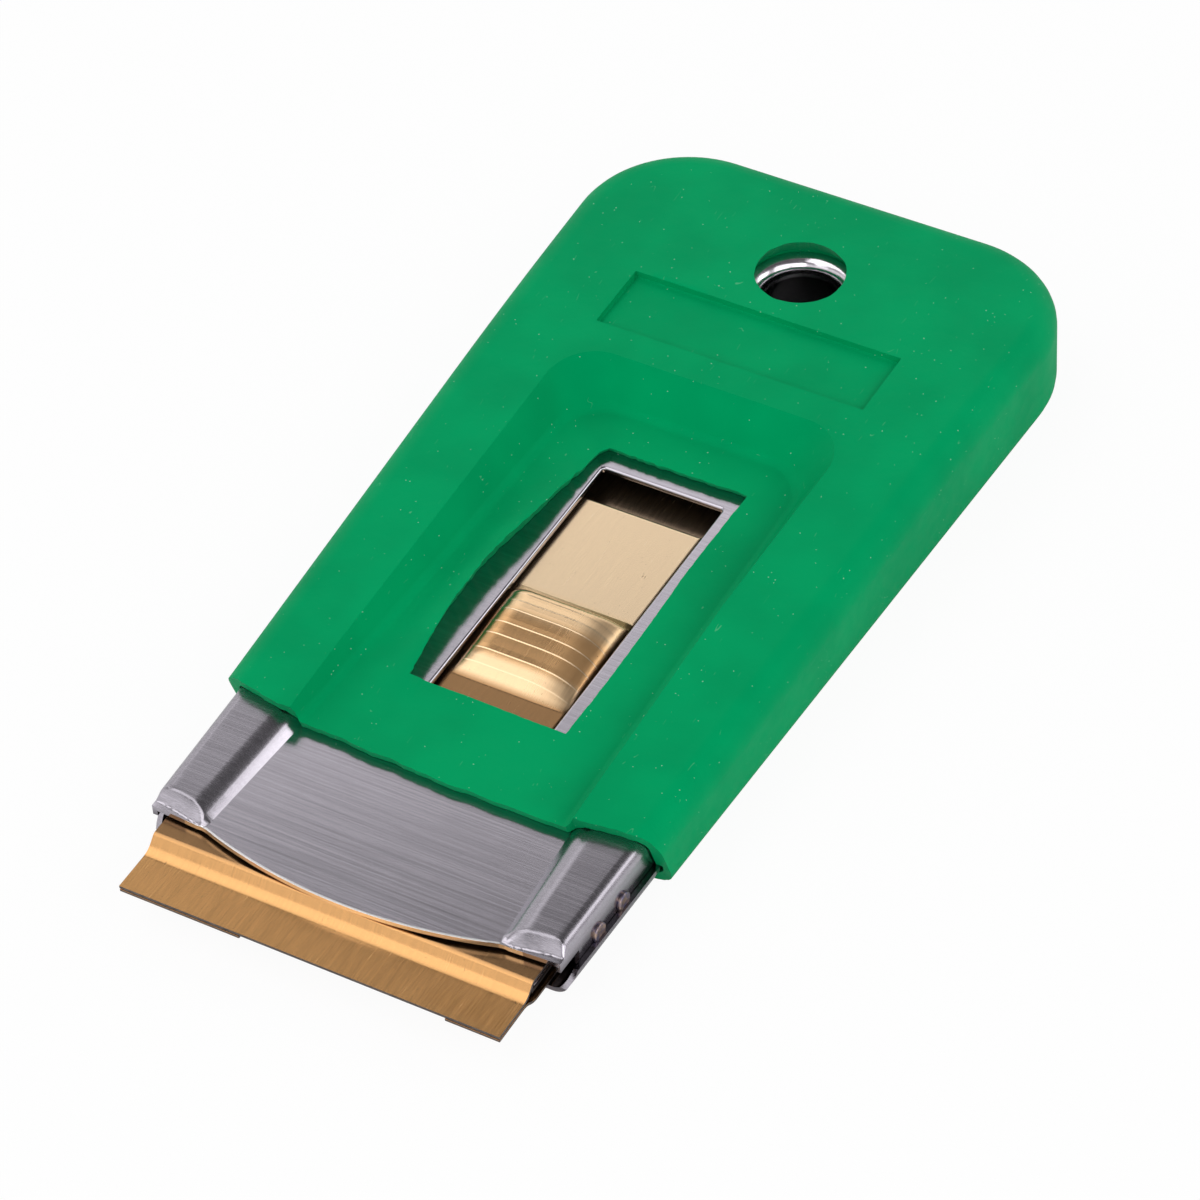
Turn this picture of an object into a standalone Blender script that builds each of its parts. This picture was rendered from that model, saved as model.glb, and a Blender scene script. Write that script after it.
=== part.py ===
"""Safety scraper: a steel blade housing in a soft grip, with a sliding blade clamp.

Lengths are in metres. X runs across the tool, Y from the clamp's lips to the
hanging hole, Z up. The thumb slide is on top, and the grip's underside is at
zero height. Distances named station are measured along Y from the front edge
of the clamp's lips.
"""
import math

import bmesh
import bpy
from mathutils import Matrix, Vector

# Sheet metal, fits and cuts
sheet = 0.0005
nest_gap = 0.00015
bend_clearance = 0.00006
running_gap = 0.0003
overrun = 0.003
merge_distance = 0.0000005
flat_angle = math.radians(0.5)
crease_angle = math.radians(35)

# How finely round shapes are divided
bend_steps = 6
corner_steps = 10
large_corner_steps = 14
front_arc_steps = 20
sheet_bend_segments = 4
rim_segments = 5
bore_sides = 48
button_sides = 24

# Single-edge blade, stowed edge inwards behind the clamp's lips
blade_half = 0.01905
blade_depth = 0.019
blade_thickness = 0.00023
blade_bevel = 0.0012
blade_edge_share = 0.125
spine_depth = 0.005
spine_height = 0.0013
spine_wall = 0.00033

# Blade clamp
clamp_side_margin = 0.00045
clamp_half = blade_half + clamp_side_margin
leaf = 0.0003
lip_depth = 0.0047
joggle_length = 0.0012
lip_gap = 0.0001
bottom_joggle = 0.0008
spine_headroom = 0.0005
pocket_height = spine_height + running_gap + spine_headroom
pocket_top = leaf + pocket_height + leaf
blade_front_station = lip_depth + joggle_length + running_gap
pocket_end_room = 0.001
pocket_back_station = blade_front_station + blade_depth + pocket_end_room
top_leaf_overhang = 0.0033
top_leaf_back_station = pocket_back_station + top_leaf_overhang
notch_left_half = 0.0070
notch_right_half = 0.0140
notch_depth = 0.0006

# Steel housing, front end
panel_setback = 0.00175
panel_corner_station = lip_depth + joggle_length + panel_setback
panel_bulge = 0.0023
shoulder_setback = 0.00095
shoulder_front_station = panel_corner_station + shoulder_setback
tray_lead = 0.0002
tray_front_station = shoulder_front_station - tray_lead
tray_front_chamfer = 0.0016
tray_front_rise = 0.0008
side_notch_height = 0.0032
side_notch_length = 0.0025

# Spot welds that join the two housing shells
weld_radius = 0.00095
weld_thickness = 0.0003
weld_setback = 0.0059
weld_pitch = 0.0041
weld_stations = (
    tray_front_station + weld_setback,
    tray_front_station + weld_setback + weld_pitch,
)

# Stations from the sleeve's front back to the thumb slide's window
weld_to_grip = 0.00215
grip_front_station = weld_stations[-1] + weld_radius + weld_to_grip
grip_front_slant = 0.0028
window_half = 0.00645
window_setback = 0.009
window_front_station = grip_front_station + window_setback
grip_window_front_margin = 0.0009
grip_window_front_station = window_front_station + grip_window_front_margin

# Tongue of the clamp's top leaf, with the thumb dome pressed up from it
dome_front_room = 0.0046
dome_back_room = 0.0172
dome_side_gap = 0.0005
dome_rise = 0.0014
dome_front_slope = 0.0026
dome_back_land = 0.00158
dome_back_slope = 0.0009
dome_flank = 0.0020
ridge_count = 5
ridge_pitch = 0.0013
ridge_depth = 0.00016
ridge_front_length = 0.00016
ridge_back_length = 0.00032
ridges_length = ridge_count * ridge_pitch + ridge_back_length
dome_front_station = window_front_station + dome_front_room
ridges_front_station = dome_front_station + dome_front_slope
ridges_back_station = ridges_front_station + ridges_length
dome_back_station = ridges_back_station + dome_back_land + dome_back_slope
tongue_half = window_half - dome_side_gap
tongue_plate_length = 0.014
tongue_back_station = dome_back_station + tongue_plate_length
tab_width = 0.0026
tab_spacing = 0.0032
tab_reach = 0.0004

# Stations from the window's back to the end of the tool
window_back_station = dome_back_station + dome_back_room
grip_window_back_margin = 0.0018
grip_window_back_station = window_back_station + grip_window_back_margin
panel_back_margin = 0.0083
panel_back_station = window_back_station + panel_back_margin
dish_back_inset = 0.0015
dish_back_station = panel_back_station - dish_back_inset
dish_back_slope = 0.0032
label_half = 0.0144
label_margin = 0.0032
label_length = 0.00785
label_depth = 0.0007
label_front_station = dish_back_station + dish_back_slope + label_margin
label_back_station = label_front_station + label_length
eyelet_bore_radius = 0.0039
eyelet_wall = 0.0004
eyelet_flare = 0.0015
eyelet_brim_radius = eyelet_bore_radius + eyelet_flare
eyelet_shell_gap = 0.0006
shell_hole_radius = eyelet_bore_radius + eyelet_wall + eyelet_shell_gap
grip_hole_margin = 0.00055
grip_hole_radius = eyelet_bore_radius + grip_hole_margin
label_to_hole = 0.0023
eyelet_station = label_back_station + label_to_hole + grip_hole_radius
eyelet_end_margin = 0.004
housing_back_station = eyelet_station + eyelet_brim_radius + eyelet_end_margin
tray_grow = nest_gap + sheet
grip_end_wall = 0.003
overall_length = housing_back_station + tray_grow + nest_gap + grip_end_wall

# Tail of the clamp's lower leaf, which stops short of the eyelet when the slide is back
tail_ramp = 0.002
tail_rise = 0.00065
tail_inset = 0.007
tail_half = clamp_half - tail_inset
tail_shoulder_station = 0.044
tail_corner_radius = 0.003
tail_end_room = 0.0017
tail_back_limit = eyelet_station - eyelet_brim_radius - tail_end_room
tail_station = tail_back_limit - (dome_back_room - running_gap)

# Widths of the housing, from the clamp outwards
clamp_side_gap = 0.0009
housing_half_front = clamp_half + clamp_side_gap + sheet
housing_flare = 0.0024
housing_half_back = housing_half_front + housing_flare
housing_corner_radius = 0.0098
ridge_width_front = 0.0058
ridge_width_back = 0.0091
panel_half_front = housing_half_front - ridge_width_front
panel_half_back = housing_half_back - ridge_width_back
panel_taper_lead = 0.0005
panel_taper_station = grip_front_station + panel_taper_lead
panel_corner_radius = 0.0036
panel_side_slope = 0.0013

# Widths of the sleeve
grip_side_front = 0.00195
grip_side_back = 0.0025
grip_half_front = housing_half_front + grip_side_front
grip_half_back = housing_half_back + grip_side_back
grip_corner_growth = 0.0022
grip_corner_radius = housing_corner_radius + grip_corner_growth
dish_inset_front = 0.0009
dish_inset_back = 0.0016
dish_half_front = panel_half_front - dish_inset_front
dish_half_back = panel_half_back - dish_inset_back
dish_corner_radius = 0.0035
dish_corner_growth_share = 0.25
dish_side_slope_front = 0.0017
dish_side_slope_back = 0.0027
grip_window_side_front = 0.00185
grip_window_side_back = 0.0016
grip_window_half_front = window_half + grip_window_side_front
grip_window_half_back = window_half + grip_window_side_back
grip_window_depth = 0.0015

# Heights of the housing, above the underside of its tray
lip_flat = 0.0002
lip_length = 0.0012
lip_sink = 0.00015
shoulder_radius = 0.0012
panel_height = sheet + running_gap + pocket_top + running_gap + lip_sink + sheet
ridge_rise_front = 0.0011
ridge_rise_back = 0.0024
housing_height_front = panel_height + ridge_rise_front
housing_height_back = panel_height + ridge_rise_back
tray_bend_radius = 0.0018
tray_inner_radius = tray_bend_radius - sheet
tray_rim = 0.00015
tray_wall_height = tray_bend_radius + tray_rim
bend_reach = tray_inner_radius - nest_gap + bend_clearance
side_wall_bottom = tray_bend_radius - math.sqrt(tray_inner_radius**2 - bend_reach**2)
weld_rise = 0.0005
weld_height = tray_wall_height + weld_rise

# Levels, measured up from the underside of the grip
grip_floor = 0.00125
tray_bottom = grip_floor + nest_gap
tray_top = tray_bottom + sheet
clamp_level = tray_top + running_gap
panel_top = tray_bottom + panel_height
housing_top_front = tray_bottom + housing_height_front
housing_top_back = tray_bottom + housing_height_back
dish_floor_cover = 0.0009
dish_floor = panel_top + dish_floor_cover
grip_cover_front = 0.00135
grip_cover_back = 0.00265
grip_front_height = housing_top_front + grip_cover_front
grip_back_height = housing_top_back + grip_cover_back
grip_level_margin = 0.0006
grip_level_station = label_front_station + grip_level_margin
grip_top_rounding = 0.0027
grip_bottom_rounding = 0.0025

# Collections
parts_home = "safety_scraper"
cutters_home = "cutters"


def clear_scene():
    """Empty the file of objects."""
    for item in list(bpy.data.objects):
        bpy.data.objects.remove(item, do_unlink=True)


def remove_cutters():
    """Take away the shapes that cut the pieces, once the pieces are final."""
    collection = bpy.data.collections[cutters_home]
    for item in list(collection.objects):
        bpy.data.objects.remove(item, do_unlink=True)
    bpy.data.collections.remove(collection)


def add_collection(name):
    """Collection linked to the scene."""
    collection = bpy.data.collections.new(name)
    bpy.context.scene.collection.children.link(collection)


def arc(centre_x, centre_y, radius, start, end, steps):
    """Points along a round corner, both ends included."""
    points = []
    for step in range(steps + 1):
        angle = start + (end - start) * step / steps
        points.append((centre_x + radius * math.cos(angle), centre_y + radius * math.sin(angle)))
    return points


def mirrored(points):
    """Outline points on the other side of the middle, in reverse order."""
    return [(-x, y) for x, y in reversed(points)]


def flared_outline(half_front, half_back, front, back, radius, front_edge=(), steps=corner_steps):
    """Plan outline: sides that flare to two round back corners, and an optional shaped front."""
    corner_x = half_back - radius
    corner_y = back - radius
    flare = math.atan2(half_back - half_front, corner_y - front)
    right = [(half_front, front)]
    right += arc(corner_x, corner_y, radius, -flare, math.pi / 2, steps)
    return right + mirrored(right) + list(front_edge)


def plate(name, outline, low, high, home=cutters_home):
    """Closed plate with a flat outline in plan, between two heights."""
    curve = bpy.data.curves.new(name, "CURVE")
    curve.dimensions = "2D"
    curve.fill_mode = "BOTH"
    curve.extrude = (high - low) / 2
    spline = curve.splines.new("POLY")
    spline.points.add(len(outline) - 1)
    for point, (x, y) in zip(spline.points, outline):
        point.co = (x, y, 0.0, 1.0)
    spline.use_cyclic_u = True
    guide = bpy.data.objects.new(name, curve)
    bpy.context.scene.collection.objects.link(guide)
    guide.location.z = (low + high) / 2
    bpy.context.view_layer.update()
    depsgraph = bpy.context.evaluated_depsgraph_get()
    mesh = bpy.data.meshes.new_from_object(guide.evaluated_get(depsgraph))
    mesh.transform(guide.matrix_world)
    bpy.data.objects.remove(guide, do_unlink=True)
    mesh.name = name
    form = bmesh.new()
    form.from_mesh(mesh)
    bmesh.ops.remove_doubles(form, verts=form.verts, dist=merge_distance)
    bmesh.ops.dissolve_limit(form, angle_limit=flat_angle, verts=form.verts, edges=form.edges)
    bmesh.ops.recalc_face_normals(form, faces=form.faces)
    form.to_mesh(mesh)
    form.free()
    item = bpy.data.objects.new(name, mesh)
    bpy.data.collections[home].objects.link(item)
    return item


def across(name, outline, half_width, home=cutters_home):
    """Closed bar whose outline is drawn in Y and Z, and which reaches both ways along X."""
    item = plate(name, outline, -half_width, half_width, home)
    turn = Matrix(((0, 0, 1, 0), (1, 0, 0, 0), (0, 1, 0, 0), (0, 0, 0, 1)))
    item.data.transform(turn)
    return item


def along(name, outline, front, back):
    """Closed bar whose outline is drawn in X and Z, and which reaches along Y."""
    item = plate(name, outline, -back, -front)
    item.data.transform(Matrix.Rotation(math.pi / 2, 4, "X"))
    return item


def box(name, low, high):
    """Box cutter between two corners."""
    bpy.ops.mesh.primitive_cube_add(size=1)
    item = bpy.context.object
    item.name = name
    size = [top - bottom for bottom, top in zip(low, high)]
    middle = [(bottom + top) / 2 for bottom, top in zip(low, high)]
    item.data.transform(Matrix.Translation(middle) @ Matrix.Diagonal((*size, 1)))
    move_to(item, cutters_home)
    return item


def rod(name, centre, radius, low, high):
    """Upright round cutter."""
    bpy.ops.mesh.primitive_cylinder_add(vertices=bore_sides, radius=radius, depth=high - low)
    item = bpy.context.object
    item.name = name
    item.data.transform(Matrix.Translation((centre[0], centre[1], (low + high) / 2)))
    move_to(item, cutters_home)
    return item


def move_to(item, home):
    """Put an object into one collection only."""
    for other in list(item.users_collection):
        other.objects.unlink(item)
    bpy.data.collections[home].objects.link(item)


def shape_vertices(item, change):
    """Move each vertex of a piece to where a function of its place says."""
    for vertex in item.data.vertices:
        vertex.co = change(*vertex.co)
    item.data.update()


def split_across(item, station):
    """Add edges to a piece where a plane square to Y cuts it."""
    form = bmesh.new()
    form.from_mesh(item.data)
    geometry = form.verts[:] + form.edges[:] + form.faces[:]
    bmesh.ops.bisect_plane(
        form, geom=geometry, dist=merge_distance, plane_co=(0, station, 0), plane_no=(0, 1, 0)
    )
    form.to_mesh(item.data)
    form.free()


def round_edges(item, choose, radius, segments):
    """Round the edges whose two end points a test accepts."""
    form = bmesh.new()
    form.from_mesh(item.data)
    edges = []
    for edge in form.edges:
        if choose(edge.verts[0].co, edge.verts[1].co):
            edges.append(edge)
    bmesh.ops.bevel(
        form,
        geom=edges,
        offset=radius,
        offset_type="OFFSET",
        segments=segments,
        profile=0.5,
        affect="EDGES",
        clamp_overlap=True,
    )
    form.to_mesh(item.data)
    form.free()


def combine(item, tool, operation="DIFFERENCE"):
    """Cut, join or intersect a piece with another."""
    modifier = item.modifiers.new(tool.name, "BOOLEAN")
    modifier.operation = operation
    modifier.solver = "EXACT"
    modifier.object = tool
    tool.hide_render = True
    tool.display_type = "WIRE"


def settle(item):
    """Make a piece's modifiers part of its mesh."""
    depsgraph = bpy.context.evaluated_depsgraph_get()
    mesh = bpy.data.meshes.new_from_object(item.evaluated_get(depsgraph))
    mesh.name = item.name
    item.modifiers.clear()
    item.data = mesh


def finish(item, material, parent):
    """Give a piece its final mesh, its material, its smooth shading and its carrier."""
    settle(item)
    item.data.materials.clear()
    item.data.materials.append(material)
    item.parent = parent
    item.data.shade_smooth()
    item.data.set_sharp_from_angle(angle=crease_angle)


def make_material(name, colour, roughness, metallic):
    """Plain surface of one colour."""
    material = bpy.data.materials.new(name)
    material.use_nodes = True
    shader = material.node_tree.nodes["Principled BSDF"]
    shader.inputs["Base Color"].default_value = (*colour, 1.0)
    shader.inputs["Roughness"].default_value = roughness
    shader.inputs["Metallic"].default_value = metallic
    return material


def add_empty(name, height):
    """Carrier for pieces, on the tool's middle plane with its front at the clamp's lips."""
    empty = bpy.data.objects.new(name, None)
    empty.location = (0.0, -overall_length / 2, height)
    bpy.data.collections[parts_home].objects.link(empty)
    return empty


def ramp(value, low, high):
    """Share of the way from one value to another, kept between 0 and 1."""
    return min(max((value - low) / (high - low), 0.0), 1.0)


# Housing


def housing_top(y):
    """Height of the housing's side ridges, which rise evenly to the back."""
    share = (y - shoulder_front_station) / (housing_back_station - shoulder_front_station)
    return housing_top_front + (housing_top_back - housing_top_front) * share


def housing_outline(grow, front, front_edge=()):
    """Plan outline of the housing, larger all round by the given amount."""
    return flared_outline(
        housing_half_front + grow,
        housing_half_back + grow,
        front,
        housing_back_station + grow,
        housing_corner_radius + grow,
        front_edge,
    )


def panel_front_edge():
    """Front edge of the housing between its two shoulders, from left to right."""
    half = panel_half_front
    radius = (half**2 + panel_bulge**2) / (2 * panel_bulge)
    swing = math.asin(half / radius)
    centre_y = panel_corner_station - panel_bulge + radius
    middle = -math.pi / 2
    return arc(0.0, centre_y, radius, middle - swing, middle + swing, front_arc_steps)


def panel_outline(grow):
    """Plan outline of the sunken panel, larger all round by the given amount."""
    corner_x = panel_half_back + grow - panel_corner_radius
    corner_y = panel_back_station + grow - panel_corner_radius
    right = [
        (panel_half_front + grow, -overrun),
        (panel_half_front + grow, panel_corner_station),
        (panel_half_back + grow, panel_taper_station),
    ]
    right += arc(corner_x, corner_y, panel_corner_radius, 0.0, math.pi / 2, bend_steps)
    return right + mirrored(right)


def drafted(name, foot, brow, low, high):
    """Cutter whose walls lean from one outline at its foot to another at its brow."""
    item = plate(name, foot, low, high)
    middle = (low + high) / 2
    pairs = list(zip(foot, brow))
    for vertex in item.data.vertices:
        if vertex.co.z > middle:
            here = vertex.co.to_2d()
            nearest = min(pairs, key=lambda pair: (here - Vector(pair[0])).length)
            vertex.co.x, vertex.co.y = nearest[1]
    item.data.update()
    return item


def panel_cutter(name, grow):
    """Space above the sunken panel, or the underside of it, by the given amount."""
    brow_height = housing_top_back + overrun
    floor = panel_top + grow
    lean = panel_side_slope * (brow_height - floor) / (housing_top_front - panel_top)
    return drafted(
        name, panel_outline(-grow), panel_outline(lean - grow), floor, brow_height
    )


def housing_form(name, grow, low, front, front_edge=()):
    """Solid of the housing's outer shape, larger all round by the given amount."""
    form = plate(name, housing_outline(grow, front, front_edge), low, housing_top_back + grow)
    middle = (low + housing_top_back) / 2
    shape_vertices(form, lambda x, y, z: (x, y, housing_top(y) + grow if z > middle else z))
    limit = shoulder_front_station + running_gap

    def on_top_side(a, b):
        return min(a.z, b.z) > middle and max(a.y, b.y) > limit

    round_edges(form, on_top_side, shoulder_radius + grow, sheet_bend_segments)
    combine(form, panel_cutter(name + "_panel", grow))
    return form


def shoulder_cutter(name, side, grow):
    """Wedge that slopes the front of one shoulder down to the clamp."""
    low_y = shoulder_front_station + lip_flat
    high_y = low_y + lip_length
    low_z = panel_top - lip_sink + grow
    high_z = housing_top(high_y) + grow
    slope = (high_z - low_z) / lip_length
    outline = [
        (-overrun, low_z),
        (low_y, low_z),
        (high_y + overrun, high_z + slope * overrun),
        (-overrun, high_z + slope * overrun),
    ]
    wedge = across(name, outline, (housing_half_front + overrun - panel_half_front) / 2)
    middle = (housing_half_front + overrun + panel_half_front) / 2
    wedge.data.transform(Matrix.Translation((side * middle, 0, 0)))
    return wedge


def build_upper_shell(steel, frame):
    """Pressed cover with raised sides, a sunken panel and the thumb slide's window."""
    low = tray_bottom + side_wall_bottom
    shell = housing_form("upper_shell", 0.0, low, shoulder_front_station, panel_front_edge())
    move_to(shell, parts_home)
    inside = housing_form("upper_shell_inside", -sheet, low - overrun, -overrun)
    for side, word in ((1, "right"), (-1, "left")):
        combine(shell, shoulder_cutter("shoulder_" + word, side, 0.0))
        combine(inside, shoulder_cutter("shoulder_inside_" + word, side, -sheet))
    combine(shell, inside)
    window = box(
        "window_cutter",
        (-window_half, window_front_station, panel_top - sheet - overrun),
        (window_half, window_back_station, panel_top + overrun),
    )
    combine(shell, window)
    notch_back = shoulder_front_station + side_notch_length
    notch = box(
        "side_notch_cutter",
        (-housing_half_back - overrun, -overrun, low - overrun),
        (housing_half_back + overrun, notch_back, tray_bottom + side_notch_height),
    )
    combine(shell, notch)
    bore = rod(
        "upper_bore_cutter",
        (0.0, eyelet_station),
        shell_hole_radius,
        low - overrun,
        housing_top_back + overrun,
    )
    combine(shell, bore)
    finish(shell, steel, frame)


def tray_form(name, grow, low, high, front, radius):
    """Solid of the tray's outside, with its bottom edges rounded."""
    form = plate(name, housing_outline(grow, front), low, high)
    middle = (low + high) / 2
    limit = front + running_gap

    def on_bottom_side(a, b):
        return max(a.z, b.z) < middle and max(a.y, b.y) > limit

    round_edges(form, on_bottom_side, radius, sheet_bend_segments)
    return form


def build_lower_shell(steel, frame):
    """Tray whose edges curl up outside the upper shell's side walls."""
    high = tray_bottom + tray_wall_height
    tray = tray_form(
        "lower_shell", tray_grow, tray_bottom, high, tray_front_station, tray_bend_radius
    )
    move_to(tray, parts_home)
    inside = tray_form(
        "tray_inside", nest_gap, tray_top, high + overrun, -overrun, tray_inner_radius
    )
    combine(tray, inside)
    slant_back = tray_front_station + tray_front_chamfer
    slant_low = tray_bottom + tray_front_rise
    outline = [
        (tray_front_station - overrun, slant_low),
        (tray_front_station, slant_low),
        (slant_back, high),
        (slant_back + overrun, high + overrun),
        (tray_front_station - overrun, high + overrun),
    ]
    combine(tray, across("tray_front_cutter", outline, housing_half_back + overrun))
    bore = rod(
        "tray_bore_cutter",
        (0.0, eyelet_station),
        shell_hole_radius,
        tray_bottom - overrun,
        high + overrun,
    )
    combine(tray, bore)
    for side, word in ((1, "right"), (-1, "left")):
        for count, station in enumerate(weld_stations, 1):
            name = f"weld_relief_{word}_{count}"
            combine(tray, side_disc(name, side, station, weld_radius + nest_gap, overrun))
    finish(tray, steel, frame)


def housing_half(station):
    """Half the upper shell's width at a station on its flared side."""
    corner_y = housing_back_station - housing_corner_radius
    share = (station - shoulder_front_station) / (corner_y - shoulder_front_station)
    return housing_half_front + (housing_half_back - housing_half_front) * share


def side_disc(name, side, station, radius, thickness, home=cutters_home):
    """Disc that lies on one outer side of the upper shell."""
    bpy.ops.mesh.primitive_cylinder_add(vertices=button_sides, radius=radius, depth=thickness)
    item = bpy.context.object
    item.name = name
    seat = housing_half(station) + nest_gap / 2 + thickness / 2
    turn = Matrix.Rotation(math.pi / 2, 4, "Y")
    place = Matrix.Translation((side * seat, station, tray_bottom + weld_height))
    item.data.transform(place @ turn)
    move_to(item, home)
    return item


def build_spot_welds(tint, frame):
    """Weld buttons on the seam between the shells, two on each side."""
    for side, word in ((1, "right"), (-1, "left")):
        for count, station in enumerate(weld_stations, 1):
            name = f"spot_weld_{word}_{count}"
            button = side_disc(name, side, station, weld_radius, weld_thickness, parts_home)
            finish(button, tint, frame)


def build_hang_eyelet(steel, frame):
    """Tubular rivet with flared ends, which joins the shells at the hanging hole."""
    low = tray_bottom - running_gap - eyelet_wall
    high = housing_top(eyelet_station) + running_gap + eyelet_wall
    brim = eyelet_brim_radius
    outer = eyelet_flare - eyelet_wall
    steps = bend_steps
    top_outer = arc(brim, high - eyelet_flare, outer, math.pi / 2, math.pi, steps)
    low_outer = arc(brim, low + eyelet_flare, outer, math.pi, math.pi * 3 / 2, steps)
    low_inner = arc(brim, low + eyelet_flare, eyelet_flare, math.pi * 3 / 2, math.pi, steps)
    top_inner = arc(brim, high - eyelet_flare, eyelet_flare, math.pi, math.pi / 2, steps)
    profile = top_outer + low_outer + low_inner + top_inner
    mesh = bpy.data.meshes.new("hang_eyelet")
    form = bmesh.new()
    verts = [form.verts.new((radius, 0.0, height)) for radius, height in profile]
    for first, second in zip(verts, verts[1:] + verts[:1]):
        form.edges.new((first, second))
    form.to_mesh(mesh)
    form.free()
    eyelet = bpy.data.objects.new("hang_eyelet", mesh)
    bpy.data.collections[parts_home].objects.link(eyelet)
    screw = eyelet.modifiers.new("turn", "SCREW")
    screw.axis = "Z"
    screw.angle = math.tau
    screw.steps = bore_sides
    screw.render_steps = bore_sides
    screw.use_merge_vertices = True
    screw.merge_threshold = merge_distance
    eyelet.location = (0.0, eyelet_station, 0.0)
    finish(eyelet, steel, frame)


# Grip


def grip_top(y):
    """Height of the grip's top, which rises to a level back."""
    share = ramp(y, grip_front_station, grip_level_station)
    return grip_front_height + (grip_back_height - grip_front_height) * share


def dish_outline(side_front, side_back, back):
    """Plan outline of the grip's sunken area, larger by the given amounts."""
    radius = dish_corner_radius + min(side_back, back) * dish_corner_growth_share
    corner_x = dish_half_back + side_back - radius
    corner_y = dish_back_station + back - radius
    right = [(dish_half_front + side_front, grip_front_station - overrun)]
    right += arc(corner_x, corner_y, radius, 0.0, math.pi / 2, corner_steps)
    return right + mirrored(right)


def grip_form():
    """Solid of the sleeve's outside, with its rims rounded and its front cut on a slant."""
    outline = flared_outline(
        grip_half_front,
        grip_half_back,
        grip_front_station,
        overall_length,
        grip_corner_radius,
        steps=large_corner_steps,
    )
    grip = plate("grip_sleeve", outline, 0.0, grip_back_height, parts_home)
    middle = grip_front_height / 2
    front_limit = grip_front_station + running_gap

    def raise_or_slant(x, y, z):
        if z > middle:
            return x, y, grip_top(y)
        if y < front_limit:
            return x, y + grip_front_slant, z
        return x, y, z

    split_across(grip, grip_level_station)
    shape_vertices(grip, raise_or_slant)
    side_reach = grip_half_front - running_gap
    side_limit = front_limit + grip_front_slant

    def on_rim(a, b):
        on_side = min(abs(a.x), abs(b.x)) > side_reach and max(a.y, b.y) > side_limit
        return on_side or min(a.y, b.y) > overall_length - grip_corner_radius

    def on_top_rim(a, b):
        return min(a.z, b.z) > middle and on_rim(a, b)

    def on_bottom_rim(a, b):
        return max(a.z, b.z) < middle and on_rim(a, b)

    round_edges(grip, on_top_rim, grip_top_rounding, rim_segments)
    round_edges(grip, on_bottom_rim, grip_bottom_rounding, rim_segments)
    return grip


def dish_cutter():
    """Space above the sunken area, whose sides lean outwards up to the grip's top."""
    high = grip_back_height + overrun
    reach_share = (high - dish_floor) / (grip_back_height - dish_floor)
    brow = dish_outline(
        dish_side_slope_front * reach_share,
        dish_side_slope_back * reach_share,
        dish_back_slope * reach_share,
    )
    return drafted("dish_cutter", dish_outline(0.0, 0.0, 0.0), brow, dish_floor, high)


def cut_housing_cavity(grip):
    """Hollow the sleeve so that both housing shells fit inside."""
    upper_low = tray_bottom + side_wall_bottom - nest_gap
    combine(grip, housing_form("grip_upper_cavity", nest_gap, upper_low, -overrun))
    lower = tray_form(
        "grip_lower_cavity",
        tray_grow + nest_gap,
        tray_bottom - nest_gap,
        tray_bottom + tray_wall_height + nest_gap,
        -overrun,
        tray_bend_radius + nest_gap,
    )
    combine(grip, lower)


def build_grip_sleeve(vinyl, frame):
    """Soft moulded sleeve round the housing."""
    grip = grip_form()
    combine(grip, dish_cutter())
    cut_housing_cavity(grip)
    high = grip_back_height + overrun
    outline = [
        (grip_window_half_front, grip_window_front_station),
        (grip_window_half_back, grip_window_back_station),
    ]
    window_low = dish_floor - grip_window_depth
    window = plate("grip_window_cutter", outline + mirrored(outline), window_low, high)
    combine(grip, window)
    label = box(
        "label_cutter",
        (-label_half, label_front_station, grip_back_height - label_depth),
        (label_half, label_back_station, high),
    )
    combine(grip, label)
    centre = (0.0, eyelet_station)
    flange_top = housing_top(eyelet_station) + running_gap + eyelet_wall + nest_gap
    flange_radius = eyelet_brim_radius + running_gap
    combine(grip, rod("flange_cutter", centre, flange_radius, -overrun, flange_top))
    combine(grip, rod("grip_hole_cutter", centre, grip_hole_radius, tray_top, high))
    finish(grip, vinyl, frame)


# Blade clamp


def strip(top_line, thickness):
    """Closed side outline of a bent sheet, from the line of its upper face."""
    under = [(y, z - thickness) for y, z in reversed(top_line)]
    return list(top_line) + under


def clamp_plan(back_points):
    """Plan outline of a clamp leaf: full width at the lips, shaped behind."""
    right = [(clamp_half, 0.0)] + back_points
    return right + mirrored(right)


def build_clamp_leaf_bottom(gold, frame):
    """Lower leaf: lip, pocket floor and the tail that runs under the thumb window."""
    lip_top = bottom_joggle + leaf
    tail_top = tail_rise + leaf
    top_line = [
        (0.0, lip_top),
        (lip_depth, lip_top),
        (lip_depth + joggle_length, leaf),
        (pocket_back_station, leaf),
        (pocket_back_station + tail_ramp, tail_top),
        (tail_station, tail_top),
    ]
    lower = across("clamp_leaf_bottom", strip(top_line, leaf), clamp_half + overrun, parts_home)
    corner_y = tail_station - tail_corner_radius
    corner_x = tail_half - tail_corner_radius
    back_points = [
        (clamp_half, tail_shoulder_station - tail_corner_radius),
        (clamp_half - tail_corner_radius, tail_shoulder_station),
        (tail_half, tail_shoulder_station),
    ]
    back_points += arc(corner_x, corner_y, tail_corner_radius, 0.0, math.pi / 2, bend_steps)
    plan = plate("bottom_leaf_plan", clamp_plan(back_points), -overrun, overrun)
    combine(lower, plan, "INTERSECT")
    notch = box(
        "bottom_leaf_notch",
        (-notch_left_half, -overrun, -overrun),
        (notch_right_half, notch_depth, overrun),
    )
    combine(lower, notch)
    for side, word in ((1, "right"), (-1, "left")):
        combine(lower, tab_slot("tab_slot_" + word, side))
    finish(lower, gold, frame)


def tab_limits(side, slack):
    """Low and high X of one of the hooks at the back of the tongue."""
    middle = side * tab_spacing
    half = tab_width / 2 + slack
    return middle - half, middle + half


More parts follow.
